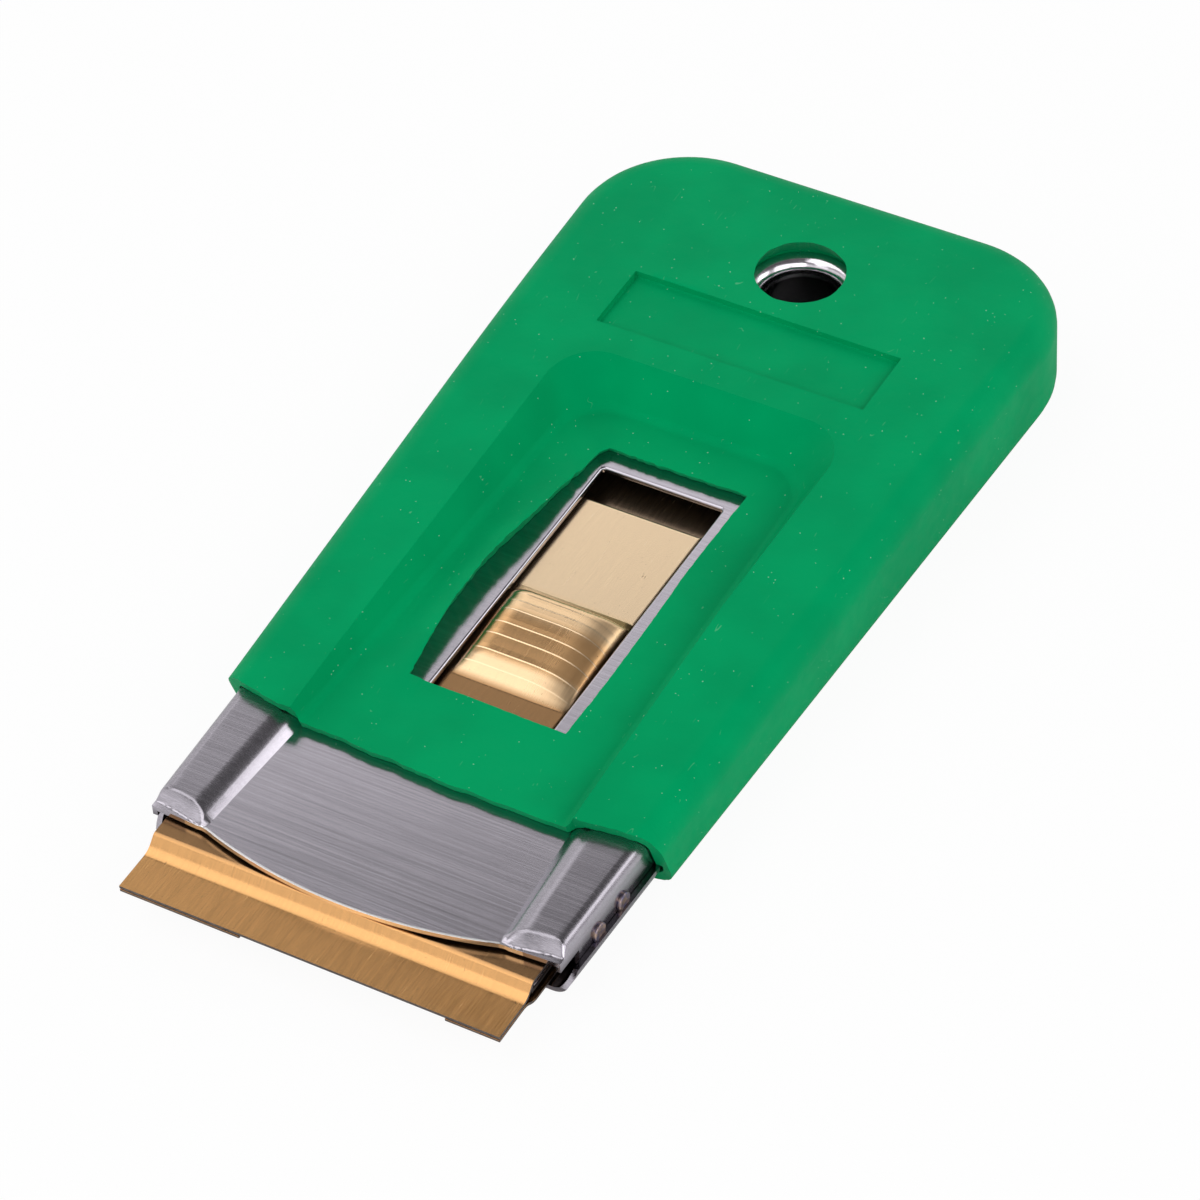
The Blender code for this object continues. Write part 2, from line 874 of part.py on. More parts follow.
def tab_slot(name, side):
    """Slot in the lower leaf that one hook of the top leaf drops through."""
    low_x, high_x = tab_limits(side, nest_gap)
    back = tongue_back_station + nest_gap
    return box(name, (low_x, back - leaf - nest_gap * 2, -overrun), (high_x, back, overrun))


def dome_side_line(grow):
    """Side view of the dome's top, from front to back, larger by the given amount."""
    base = pocket_top
    crest = base + dome_rise + grow
    line = [(dome_front_station - grow, base + grow)]
    line.append((ridges_front_station, crest))
    for count in range(ridge_count):
        front = ridges_front_station + ridge_pitch * (count + 1)
        if grow == 0.0:
            line.append((front - ridge_front_length, crest))
            line.append((front, crest - ridge_depth))
            line.append((front + ridge_back_length, crest))
    end = dome_back_station + grow
    line.append((end - dome_back_slope, crest))
    line.append((end, crest - dome_back_slope))
    return line


def dome_form(name, grow, floor):
    """Solid of the thumb dome, larger all round by the given amount."""
    line = dome_side_line(grow)
    outline = [(line[0][0], floor)] + line + [(line[-1][0], floor)]
    dome = across(name, outline, tongue_half + grow)
    crest = pocket_top + dome_rise + grow
    half = tongue_half + grow
    radius = dome_flank + grow
    flank = arc(half - radius, crest - radius, radius, 0.0, math.pi / 2, bend_steps)
    crown = [(half, floor - overrun)] + flank
    crown += mirrored(crown)
    front = dome_front_station - overrun
    shell = along(name + "_crown", crown, front, dome_back_station + overrun)
    combine(dome, shell, "INTERSECT")
    return dome


def build_clamp_leaf_top(gold, frame):
    """Upper leaf: lip, joggle, pocket cover, and the tongue with its dome and end hooks."""
    lip_top = bottom_joggle + leaf + lip_gap + leaf
    high = pocket_top
    top_line = [
        (0.0, lip_top),
        (lip_depth, lip_top),
        (lip_depth + joggle_length, high),
        (tongue_back_station, high),
    ]
    upper = across("clamp_leaf_top", strip(top_line, leaf), clamp_half + overrun, parts_home)
    back_points = [
        (clamp_half, top_leaf_back_station - tail_corner_radius),
        (clamp_half - tail_corner_radius, top_leaf_back_station),
        (tongue_half, top_leaf_back_station),
        (tongue_half, tongue_back_station + overrun),
    ]
    plan = plate("top_leaf_plan", clamp_plan(back_points), -overrun, high + overrun)
    combine(upper, plan, "INTERSECT")
    combine(upper, dome_form("dome_outside", 0.0, high - leaf), "UNION")
    combine(upper, dome_form("dome_inside", -leaf, high - leaf - overrun))
    for side, word in ((1, "right"), (-1, "left")):
        low_x, high_x = tab_limits(side, 0.0)
        hook = box(
            "hook_" + word,
            (low_x, tongue_back_station - leaf, -tab_reach + tail_rise),
            (high_x, tongue_back_station, high),
        )
        combine(upper, hook, "UNION")
    finish(upper, gold, frame)


def build_blade(steel, dark_steel, frame):
    """Single-edge blade with its folded spine, stowed edge inwards."""
    front = blade_front_station
    low = leaf + running_gap
    middle = low + spine_height / 2
    outline = [
        (front, low),
        (front + spine_depth, low),
        (front + spine_depth, low + spine_wall),
        (front + spine_wall, low + spine_wall),
        (front + spine_wall, low + spine_height - spine_wall),
        (front + spine_depth, low + spine_height - spine_wall),
        (front + spine_depth, low + spine_height),
        (front, low + spine_height),
    ]
    spine = across("blade_spine", outline, blade_half, parts_home)
    finish(spine, dark_steel, frame)
    back = front + blade_depth
    half = blade_thickness / 2
    start = front + spine_wall + nest_gap
    edge_half = half * blade_edge_share
    outline = [
        (start, middle - half),
        (back - blade_bevel, middle - half),
        (back, middle - edge_half),
        (back, middle + edge_half),
        (back - blade_bevel, middle + half),
        (start, middle + half),
    ]
    blade = across("blade", outline, blade_half, parts_home)
    finish(blade, steel, frame)


def main():
    """Build the whole tool."""
    clear_scene()
    add_collection(parts_home)
    add_collection(cutters_home)
    vinyl = make_material("green_vinyl", (0.0, 0.29, 0.10), 0.45, 0.0)
    steel = make_material("brushed_steel", (0.42, 0.42, 0.46), 0.3, 1.0)
    tint = make_material("weld_tint", (0.25, 0.17, 0.13), 0.4, 1.0)
    gold = make_material("gold_passivated_steel", (0.46, 0.27, 0.09), 0.3, 1.0)
    blade_steel = make_material("blade_steel", (0.5, 0.5, 0.52), 0.2, 1.0)
    dark_steel = make_material("blued_steel", (0.06, 0.05, 0.05), 0.4, 1.0)
    body = add_empty("body_frame", 0.0)
    carriage = add_empty("clamp_frame", clamp_level)
    build_lower_shell(steel, body)
    build_upper_shell(steel, body)
    build_spot_welds(tint, body)
    build_hang_eyelet(steel, body)
    build_grip_sleeve(vinyl, body)
    build_clamp_leaf_bottom(gold, carriage)
    build_clamp_leaf_top(gold, carriage)
    build_blade(blade_steel, dark_steel, carriage)
    remove_cutters()


main()
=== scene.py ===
"""Looks of a pocket scraper: soft green grip, brushed steel housing and gold blade clamp.

Lengths are in metres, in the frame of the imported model: X across the tool, Y from
the clamp's lips to the hanging hole, Z up. A station is a distance along Y from the
front edge of the clamp's lips.
"""
import math
from contextlib import contextmanager

import bmesh
import bpy
from mathutils import Matrix, Vector, noise

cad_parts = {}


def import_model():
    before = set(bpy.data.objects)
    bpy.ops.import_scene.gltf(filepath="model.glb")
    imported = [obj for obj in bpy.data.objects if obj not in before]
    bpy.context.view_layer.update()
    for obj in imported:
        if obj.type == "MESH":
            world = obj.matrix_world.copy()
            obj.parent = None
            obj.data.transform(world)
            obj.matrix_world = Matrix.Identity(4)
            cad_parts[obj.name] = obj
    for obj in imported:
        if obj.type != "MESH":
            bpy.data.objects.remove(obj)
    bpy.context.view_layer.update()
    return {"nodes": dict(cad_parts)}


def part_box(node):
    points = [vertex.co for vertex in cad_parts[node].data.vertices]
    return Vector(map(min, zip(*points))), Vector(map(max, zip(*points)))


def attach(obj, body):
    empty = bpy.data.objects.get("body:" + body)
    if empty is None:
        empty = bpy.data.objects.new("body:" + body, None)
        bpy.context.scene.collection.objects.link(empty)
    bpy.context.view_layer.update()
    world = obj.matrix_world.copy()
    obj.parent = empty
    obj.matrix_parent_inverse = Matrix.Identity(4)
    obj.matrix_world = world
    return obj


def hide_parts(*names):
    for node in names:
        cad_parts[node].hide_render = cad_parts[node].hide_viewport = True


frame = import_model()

bl_info = {
    "name": "Pocket Scraper Looks",
    "version": (1, 0, 0),
    "blender": (4, 5, 0),
    "location": "View3D > Sidebar > Scraper",
    "description": "Models and finishes a pocket scraper with a sliding blade clamp",
    "category": "Add Mesh",
}

# Places taken from the frame
grip_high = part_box("grip_sleeve")[1]
shell_low, shell_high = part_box("upper_shell")
tray_low, tray_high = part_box("lower_shell")
eyelet_low, eyelet_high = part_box("hang_eyelet")
leaf_low, leaf_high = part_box("clamp_leaf_bottom")
dome_low, dome_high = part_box("clamp_leaf_top")
eyelet_y = (eyelet_low.y + eyelet_high.y) / 2
lips_y = leaf_low.y

# How far cutting tools reach past what they cut, and half their width across the whole tool
overrun = 0.003
wide_cut = 0.03
# Smallest length told apart
tiny = 0.00002
# Height over the leaves and the tray, for tools that cut through them
clear_top = 0.01
# Angles over which an edge stays sharp, belongs to a brow, or is a sheet's cut edge
smooth_angle = math.radians(32)
brow_angle = math.radians(20)
square_angle = 1.2
# A face faces a direction if its normal has at least this share of it
facing = 0.9


# Working with meshes


def deselect_all():
    """Nothing is selected and nothing is active."""
    bpy.ops.object.select_all(action="DESELECT")
    bpy.context.view_layer.objects.active = None


def make_active(item):
    """Only this object is selected, and it is the active one."""
    deselect_all()
    item.select_set(True)
    bpy.context.view_layer.objects.active = item


@contextmanager
def editing(item, mode="EDGE"):
    """Edit mode on one object, with nothing selected in it."""
    make_active(item)
    bpy.ops.object.mode_set(mode="EDIT")
    bpy.ops.mesh.select_mode(type=mode)
    bpy.ops.mesh.select_all(action="DESELECT")
    yield
    bpy.ops.object.mode_set(mode="OBJECT")


def pick(item, kind, test):
    """Select the vertices, edges or faces that pass a test, and count them."""
    form = bmesh.from_edit_mesh(item.data)
    form.normal_update()
    found = [part for part in getattr(form, kind) if test(part)]
    for part in found:
        part.select_set(True)
    form.select_flush_mode()
    bmesh.update_edit_mesh(item.data)
    return len(found)


def station(distance):
    """Place along Y of a distance from the clamp's lips."""
    return lips_y + distance


def unit(value):
    """Value kept between 0 and 1."""
    return min(max(value, 0.0), 1.0)


def between(rows, place, column):
    """Value of one column of a table at a place in its first column."""
    for low, high in zip(rows, rows[1:]):
        if place <= high[0]:
            share = unit((place - low[0]) / (high[0] - low[0]))
            return low[column] + (high[column] - low[column]) * share
    return rows[-1][column]


def block(name, low, high):
    """Box between two corners, with its object at the origin."""
    deselect_all()
    bpy.ops.mesh.primitive_cube_add(size=1.0)
    item = bpy.context.object
    item.name = name
    size = [b - a for a, b in zip(low, high)]
    middle = [(a + b) / 2 for a, b in zip(low, high)]
    with editing(item):
        bpy.ops.mesh.select_all(action="SELECT")
        bpy.ops.transform.resize(value=size)
        bpy.ops.transform.translate(value=middle)
    return item


def tool_box(name, half, front, back, low, high, middle=0.0):
    """Box between two stations and two heights, with half its width given."""
    return block(name, (middle - half, station(front), low), (middle + half, station(back), high))


def puck(name, centre, radius, low, high, sides):
    """Upright cylinder between two heights, with its object at the origin."""
    deselect_all()
    bpy.ops.mesh.primitive_cylinder_add(vertices=sides, radius=radius, depth=high - low)
    item = bpy.context.object
    item.name = name
    with editing(item):
        bpy.ops.mesh.select_all(action="SELECT")
        bpy.ops.transform.translate(value=(centre[0], centre[1], (low + high) / 2))
    return item


def object_from(name, form):
    """Object at the origin with the mesh of a bmesh, which is freed."""
    mesh = bpy.data.meshes.new(name)
    form.to_mesh(mesh)
    form.free()
    item = bpy.data.objects.new(name, mesh)
    bpy.context.scene.collection.objects.link(item)
    return item


def form_by(item, change):
    """Move each vertex to where a function of its place says."""
    for vertex in item.data.vertices:
        vertex.co = change(vertex.co.x, vertex.co.y, vertex.co.z)
    item.data.update()


def flared(x, y, front_half):
    """Place across of a corner, for a body whose front is narrower than its back."""
    return x if y > 0.0 else math.copysign(front_half, x)


def slice_at(item, places, axis=1):
    """Cut a mesh into strips with planes square to one axis."""
    normal = [0.0, 0.0, 0.0]
    normal[axis] = 1.0
    with editing(item):
        for place in places:
            point = [0.0, 0.0, 0.0]
            point[axis] = place
            bpy.ops.mesh.select_all(action="SELECT")
            bpy.ops.mesh.bisect(plane_co=point, plane_no=normal)


def bevel(item, test, width, segments):
    """Round the edges that pass a test."""
    with editing(item):
        if pick(item, "edges", test) == 0:
            raise RuntimeError("no edge of " + item.name + " passed the test for rounding")
        bpy.ops.mesh.bevel(
            offset=width, offset_type="OFFSET", segments=segments, affect="EDGES", clamp_overlap=True
        )


def use_modifier(item, kind, **values):
    """Add a modifier with these values and apply it."""
    make_active(item)
    modifier = item.modifiers.new(kind.title(), kind)
    for key, value in values.items():
        setattr(modifier, key, value)
    bpy.ops.object.modifier_apply(modifier=modifier.name)


def open_up(item, test):
    """Leave an open sheet, without the faces that pass a test."""
    with editing(item, "FACE"):
        pick(item, "faces", test)
        bpy.ops.mesh.delete(type="FACE")


def thicken(item, thickness, **more):
    """Give an open sheet its thickness, towards its inner side."""
    use_modifier(item, "SOLIDIFY", thickness=thickness, offset=-1.0, use_even_offset=True, **more)


def cut(item, tool, operation="DIFFERENCE"):
    """Cut, join or intersect a piece with a tool, which is then removed."""
    use_modifier(item, "BOOLEAN", operation=operation, solver="EXACT", object=tool)
    bpy.data.objects.remove(tool, do_unlink=True)


def drill(item, radius, low, high, sides):
    """Cut a round hole on the axis of the hanging hole."""
    cut(item, puck("drill", (0.0, eyelet_y), radius, low, high, sides))


def vertical(edge):
    """The edge stands upright."""
    a, b = edge.verts[0].co, edge.verts[1].co
    return abs(a.z - b.z) > tiny and (a - b).to_2d().length < abs(a.z - b.z)


def normals(edge):
    """Normals of the edge's two faces, the higher one first."""
    found = sorted((face.normal for face in edge.link_faces), key=lambda n: -n.z)
    return found if len(found) == 2 else (Vector((0, 0, -2)), Vector((0, 0, -2)))


def middle_of(edge):
    """Point halfway along the edge."""
    return (edge.verts[0].co + edge.verts[1].co) / 2


def back_corner(edge):
    """The edge stands upright at the back."""
    return vertical(edge) and middle_of(edge).y > 0.0


def leaning_back_corner(edge):
    """The edge runs from bottom to top at the back of a tool with leaning sides."""
    return middle_of(edge).y > 0.0 and abs(edge.verts[0].co.z - edge.verts[1].co.z) > overrun


def on_rim(edge, side):
    """The edge joins a level top (side 1) or bottom (side -1) to a wall other than the front."""
    high, low = normals(edge)
    level, wall = (high, low) if side > 0 else (low, high)
    return level.z * side > facing and abs(wall.z) < 0.3 and wall.y > -0.5


def ragged(place, waves):
    """Small unevenness of a cut edge, from waves that each have a size, a reach and a seed."""
    total = 0.0
    for size, reach, seed in waves:
        total += reach * noise.noise(Vector((place[0] / size, place[1] / size, seed)))
    return total


def finish_piece(item, material, body, nodes, angle=smooth_angle):
    """Shade a piece, give it its material and tie it to the frame."""
    make_active(item)
    item.data.materials.clear()
    item.data.materials.append(material)
    bpy.ops.object.shade_smooth_by_angle(angle=angle)
    use_modifier(item, "WEIGHTED_NORMAL", keep_sharp=True, weight=50)
    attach(item, body)
    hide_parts(*nodes)


# Sizes and colours that a user would change


def length(name, description, default):
    """Length property, in metres."""
    return bpy.props.FloatProperty(
        name=name, description=description, default=default, min=0.0, unit="LENGTH", precision=5
    )


def colour(name, description, default):
    """Colour property."""
    return bpy.props.FloatVectorProperty(
        name=name, description=description, default=default, subtype="COLOR", size=3, min=0.0, max=1.0
    )


class ScraperGripSizes(bpy.types.PropertyGroup):
    """Sizes of the soft grip."""

    front: length("Front", "Station of the grip's front edge", 0.0215)
    front_half: length("Front half width", "Half the grip's width at its front", 0.02285)
    slant: length("Slant", "How far the front's lower edge is set back", 0.0028)
    corner: length("Corner", "Radius of the round back corners in plan", 0.0120)
    front_height: length("Front height", "Height of the grip's top at its front", 0.0083)
    level: length("Level from", "Station from which the top is level", 0.078)
    top_rounding: length("Top rounding", "Radius of the upper rim", 0.0027)
    bottom_rounding: length("Bottom rounding", "Radius of the lower rim", 0.0025)
    dish_floor: length("Dish floor", "Height of the sunken area's floor", 0.00675)
    dish_back: length("Dish back", "Station of the back of the sunken area's floor", 0.0710)
    dish_front_half: length("Dish front half", "Half the floor's width at the front", 0.0142)
    dish_back_half: length("Dish back half", "Half the floor's width at the back", 0.0126)
    edge_lift: length("Edge lift", "How far the floor stands up at the window's left", 0.0014)
    window_front: length("Window front", "Station of the window's front edge", 0.0314)
    window_back: length("Window back", "Station of the window's back edge", 0.0660)
    label_half: length("Label half width", "Half the width of the bare label recess", 0.0144)
    label_front: length("Label front", "Station of the recess's front edge", 0.0774)
    label_back: length("Label back", "Station of the recess's back edge", 0.08525)
    label_depth: length("Label depth", "Depth of the recess", 0.0007)
    hole_radius: length("Hole radius", "Radius of the grip's hole over the eyelet", 0.00445)


class ScraperHousingSizes(bpy.types.PropertyGroup):
    """Sizes of the pressed steel housing."""

    sheet: length("Sheet", "Thickness of the steel sheet", 0.0005)
    front: length("Ridge front", "Station of the front of the side ridges", 0.0086)
    front_half: length("Front half width", "Half the upper shell's width at its front", 0.0209)
    corner: length("Corner", "Radius of the back corners in plan", 0.0098)
    front_top: length("Ridge height", "Height of the side ridges at their front", 0.00695)
    bend: length("Bend", "Outer radius of the bend along each side", 0.0012)
    panel_top: length("Panel height", "Height of the sunken panel's top", 0.00585)
    panel_front_half: length("Panel front half", "Half the panel's width at its front", 0.0151)
    panel_back_half: length("Panel back half", "Half the panel's width at its back", 0.0142)
    panel_corner: length("Panel corner", "Station of the panel's front corners", 0.00765)
    panel_bulge: length("Panel bulge", "How far the panel's front edge bows forward", 0.0023)
    panel_back: length("Panel back", "Station of the panel's back", 0.0725)
    panel_slope: length("Panel slope", "Run of the slope between panel and ridge at the front", 0.0013)
    window_half: length("Window half width", "Half the width of the thumb slide's window", 0.00645)
    window_front: length("Window front", "Station of the window's front edge", 0.0305)
    window_back: length("Window back", "Station of the window's back edge", 0.0642)
    tray_front: length("Tray front", "Station of the tray's front edge", 0.0084)
    tray_bend: length("Tray bend", "Outer radius of the tray's curled edge", 0.0018)
    tray_chamfer: length("Tray chamfer", "How far the tray wall's front slopes back", 0.0016)
    tray_rise: length("Tray rise", "Height of the tray wall's front edge", 0.0008)
    notch_length: length("Notch length", "Length of the notch below the side wall's front", 0.0025)
    notch_height: length("Notch height", "Height of that notch's top over the tray", 0.0032)


class ScraperClampSizes(bpy.types.PropertyGroup):
    """Sizes of the gold blade clamp."""

    leaf: length("Leaf", "Thickness of each clamp leaf", 0.0003)
    half: length("Half width", "Half the clamp's width at its lips", 0.0195)
    lip: length("Lip", "Depth of the flat lip", 0.0047)
    joggle: length("Joggle", "Run of the step behind the lip", 0.0012)
    pocket: length("Pocket", "Height of the blade's pocket between the leaves", 0.0021)
    dome_front: length("Dome front", "Station of the thumb dome's front", 0.0351)
    dome_back: length("Dome back", "Station of the thumb dome's back", 0.0470)
    dome_half: length("Dome half width", "Half the thumb dome's width", 0.00595)
    dome_left: length("Dome left reach", "How much further the dome reaches on its left", 0.00023)
    plate_left: length("Plate left reach", "How much further the plate reaches on its left", 0.0010)
    line_bow: length("Line bow", "How far the dome's lines bend forward at its right", 0.0007)
    tongue_back: length("Tongue back", "Station of the back of the tongue behind the dome", 0.0610)


class ScraperColours(bpy.types.PropertyGroup):
    """Colours of the finishes."""

    vinyl: colour("Vinyl", "Colour of the soft grip", (0.0, 0.305, 0.105))
    steel: colour("Steel", "Colour of the brushed steel", (0.47, 0.44, 0.49))
    gold: colour("Gold", "Colour of the passivated clamp", (0.66, 0.355, 0.140))
    tint: colour("Weld tint", "Colour of the spot welds", (0.46, 0.33, 0.26))
    blue: colour("Blued steel", "Colour of the blade's spine", (0.05, 0.05, 0.06))
    floor: colour("Floor", "Colour of the floor", (0.88, 0.88, 0.88))


# Stations of the fine lines across the dome, with the height of each
dome_lines = (
    (0.03685, 0.000012),
    (0.03845, 0.000030),
    (0.04035, 0.000030),
    (0.04185, 0.000030),
    (0.04355, 0.000026),
    (0.04475, 0.000020),
    (0.04575, 0.000012),
)


# Shader nodes


def wire(tree, source, target):
    """Link a socket into another one, or give that one a number or a colour."""
    if isinstance(source, tuple):
        target.default_value = (*source, 1.0)
    elif isinstance(source, (int, float)):
        target.default_value = source
    else:
        tree.links.new(source, target)


def add(tree, kind, **values):
    """Node in a tree, with some of its values set."""
    node = tree.nodes.new(kind)
    for key, value in values.items():
        setattr(node, key, value)
    return node


def maths(tree, operation, *values):
    """Math node on sockets or numbers."""
    node = add(tree, "ShaderNodeMath", operation=operation)
    for value, socket in zip(values, node.inputs):
        wire(tree, value, socket)
    return node.outputs[0]


def product(tree, first, *others):
    """Product of sockets or numbers."""
    for other in others:
        first = maths(tree, "MULTIPLY", first, other)
    return first


def spread(tree, value, low, high, out_low=0.0, out_high=1.0):
    """Smooth change of a value from one end to the other, and level outside them."""
    node = add(tree, "ShaderNodeMapRange", clamp=True, interpolation_type="SMOOTHSTEP")
    labels = ("Value", "From Min", "From Max", "To Min", "To Max")
    for label, number in zip(labels, (value, low, high, out_low, out_high)):
        wire(tree, number, node.inputs[label])
    return node.outputs["Result"]


def mix_colours(tree, share, first, second, blend="MIX"):
    """Mix node on colours."""
    node = add(tree, "ShaderNodeMix", data_type="RGBA", blend_type=blend)
    for value, index in ((share, 0), (first, 6), (second, 7)):
        wire(tree, value, node.inputs[index])
    return node.outputs[2]


def shade_by(tree, body, shade):
    """Colour made darker or lighter by a number at each point."""
    return mix_colours(tree, 1.0, body, shade, "MULTIPLY")


def lay_over(tree, body, tone, *masks):
    """Colour with a tone laid over it where all the masks are."""
    return mix_colours(tree, product(tree, *masks), body, tone)


def noise_at(tree, vector, scale, detail=2.0, roughness=0.5):
    """Value of a noise texture."""
    node = add(tree, "ShaderNodeTexNoise")
    wire(tree, vector, node.inputs["Vector"])
    wire(tree, scale, node.inputs["Scale"])
    node.inputs["Detail"].default_value = detail
    node.inputs["Roughness"].default_value = roughness
    return node.outputs["Fac"]


def split(tree, vector):
    """The three parts of a vector."""
    node = add(tree, "ShaderNodeSeparateXYZ")
    wire(tree, vector, node.inputs[0])
    return node.outputs


def mapped(tree, vector, scale, turn=0.0):
    """Vector turned about Z and scaled along each axis."""
    node = add(tree, "ShaderNodeMapping")
    wire(tree, vector, node.inputs["Vector"])
    node.inputs["Rotation"].default_value = (0.0, 0.0, turn)
    node.inputs["Scale"].default_value = scale
    return node.outputs["Vector"]


# Shader node groups


def new_group(name, values, result):
    """Empty group that takes a vector and some numbers and gives one result."""
    group = bpy.data.node_groups.new(name, "ShaderNodeTree")
    group.interface.new_socket(name="Vector", in_out="INPUT", socket_type="NodeSocketVector")
    for label, value in values.items():
        socket = group.interface.new_socket(name=label, in_out="INPUT", socket_type="NodeSocketFloat")
        socket.default_value = value
    group.interface.new_socket(name=result, in_out="OUTPUT", socket_type="NodeSocketFloat")
    given = group.nodes.new("NodeGroupInput").outputs
    return group, given, group.nodes.new("NodeGroupOutput").inputs[result]


def brushed_group():
    """Fine lines of a brushed sheet, which run along X or along Y."""
    group, given, result = new_group("Brushed Lines", {"Across": 9000.0, "Along": 150.0}, "Lines")
    join = add(group, "ShaderNodeCombineXYZ")
    labels = ("Along", "Across", "Across")
    for part, label, socket in zip(split(group, given["Vector"]), labels, join.inputs):
        wire(group, product(group, part, given[label]), socket)
    fine = noise_at(group, join.outputs[0], 1.0, 3.0, 0.7)
    coarse = noise_at(group, join.outputs[0], 0.22)
    total = maths(group, "ADD", product(group, fine, 0.75), product(group, coarse, 0.25))
    wire(group, total, result)


def speck_group():
    """Scattered dust specks."""
    values = {"Density": 900.0, "Size": 0.05, "Amount": 0.5}
    group, given, result = new_group("Dust Specks", values, "Mask")
    cells = add(group, "ShaderNodeTexVoronoi", feature="F1")
    wire(group, given["Vector"], cells.inputs["Vector"])
    wire(group, given["Density"], cells.inputs["Scale"])
    draws = add(group, "ShaderNodeSeparateColor")
    wire(group, cells.outputs["Color"], draws.inputs[0])
    radius = product(group, given["Size"], draws.outputs[1])
    dot = maths(group, "LESS_THAN", cells.outputs["Distance"], radius)
    kept = maths(group, "LESS_THAN", draws.outputs[0], given["Amount"])
    wire(group, product(group, dot, kept), result)


def scratch_group():
    """Sparse fine scratches."""
    values = {"Scale": 200.0, "Width": 0.02, "Amount": 0.5}
    group, given, result = new_group("Fine Scratches", values, "Mask")
    turned = mapped(group, given["Vector"], (1.0, 0.14, 1.0), 0.7)
    bend = noise_at(group, turned, given["Scale"], 1.0)
    away = maths(group, "ABSOLUTE", maths(group, "SUBTRACT", bend, 0.5))
    line = maths(group, "LESS_THAN", away, given["Width"])
    patch = noise_at(group, given["Vector"], product(group, given["Scale"], 1.7), 0.0)
    kept = maths(group, "LESS_THAN", patch, given["Amount"])
    wire(group, product(group, line, kept), result)


def group_node(tree, name, vector, **values):
    """Result of a node group that is given its own values."""
    node = add(tree, "ShaderNodeGroup")
    node.node_tree = bpy.data.node_groups[name]
    wire(tree, vector, node.inputs["Vector"])
    for label, value in values.items():
        node.inputs[label].default_value = value
    return node.outputs[0]


# Materials


def new_material(name):
    """Nodes of a new material, its Principled shader and its object coordinates."""
    material = bpy.data.materials.new(name)
    material.use_nodes = True
    tree = material.node_tree
    place = add(tree, "ShaderNodeTexCoord").outputs["Object"]
    return tree, tree.nodes["Principled BSDF"], place


def finish_named(name):
    """One of the materials, by its name."""
    return bpy.data.materials[name]


def shaded(tone, share, tint=(1.0, 1.0, 1.0)):
    """Colour made darker or lighter and tinted, but no brighter than white."""
    return tuple(min(value * share * part, 1.0) for value, part in zip(tone, tint))


def set_surface(tree, shader, body, rough, metallic=0.0):
    """Give a shader its colour, its roughness and how much of a metal it is."""
    wire(tree, body, shader.inputs["Base Color"])
    wire(tree, rough, shader.inputs["Roughness"])
    shader.inputs["Metallic"].default_value = metallic


def add_bump(tree, shader, height, distance, strength):
    """Fine relief of a surface."""
    node = add(tree, "ShaderNodeBump")
    node.inputs["Distance"].default_value = distance
    node.inputs["Strength"].default_value = strength
    wire(tree, height, node.inputs["Height"])
    wire(tree, node.outputs["Normal"], shader.inputs["Normal"])


def vinyl_material(tones):
    """Soft satin vinyl with a fine grain, slow tone changes and pale dust."""
    tree, shader, place = new_material("Green vinyl")
    slow = spread(tree, noise_at(tree, place, 110.0), 0.3, 0.7)
    body = mix_colours(tree, slow, shaded(tones.vinyl, 0.93), shaded(tones.vinyl, 1.06))
    dust = group_node(tree, "Dust Specks", place, Density=2600.0, Size=0.13, Amount=0.18)
    body = lay_over(tree, body, (0.60, 0.90, 0.74), dust, 0.75)
    hair = group_node(tree, "Fine Scratches", place, Scale=520.0, Width=0.0022, Amount=0.28)
    body = lay_over(tree, body, (0.3, 0.7, 0.45), hair, 0.2)
    lumps = noise_at(tree, place, 620.0)
    set_surface(tree, shader, body, spread(tree, lumps, 0.2, 0.8, 0.46, 0.56))
    shader.inputs["Specular IOR Level"].default_value = 0.06
    shader.inputs["Specular Tint"].default_value = (0.0, 1.0, 0.6, 1.0)
    grain = noise_at(tree, place, 5200.0, 3.0, 0.6)
    relief = maths(tree, "ADD", product(tree, grain, 0.25), lumps)
    add_bump(tree, shader, relief, 0.00006, 0.5)


def brushed_steel(name, base, across, along):
    """Start of a brushed steel: nodes, shader, lines, colour and the parts of the place."""
    tree, shader, place = new_material(name)
    dark = shaded(base, 0.8)
    lines = group_node(tree, "Brushed Lines", place, Across=across, Along=along)
    body = mix_colours(tree, spread(tree, lines, 0.3, 0.7), dark, shaded(base, 1.14))
    cloud = spread(tree, noise_at(tree, place, 160.0, 3.0), 0.45, 0.75)
    body = lay_over(tree, body, dark, cloud, 0.25)
    return tree, shader, lines, body, split(tree, place)


def finish_brushed(tree, shader, body, rough, lines):
    """Give a brushed metal its surface, with its lines as a fine relief."""
    set_surface(tree, shader, body, rough, 1.0)
    add_bump(tree, shader, lines, 0.000004, 0.6)


def front_circle(sizes):
    """Radius of the cover's bowed front edge, and the station of its centre."""
    radius = (sizes.panel_front_half**2 + sizes.panel_bulge**2) / (2 * sizes.panel_bulge)
    return radius, sizes.panel_corner - sizes.panel_bulge + radius


def front_edge_highlight(tree, parts, sizes, body):
    """Painted highlight: brighten the rounded top along the cover's bowed front edge."""
    radius, centre = front_circle(sizes)
    across = maths(tree, "POWER", parts[0], 2.0)
    along = maths(tree, "SUBTRACT", parts[1], station(centre))
    reach = maths(tree, "SQRT", maths(tree, "ADD", across, product(tree, along, along)))
    edge = spread(tree, reach, radius - 0.00026, radius - 0.00014)
    near = maths(tree, "LESS_THAN", parts[1], station(sizes.panel_corner + 0.0002))
    return lay_over(tree, body, (1.0, 0.99, 1.0), edge, near)


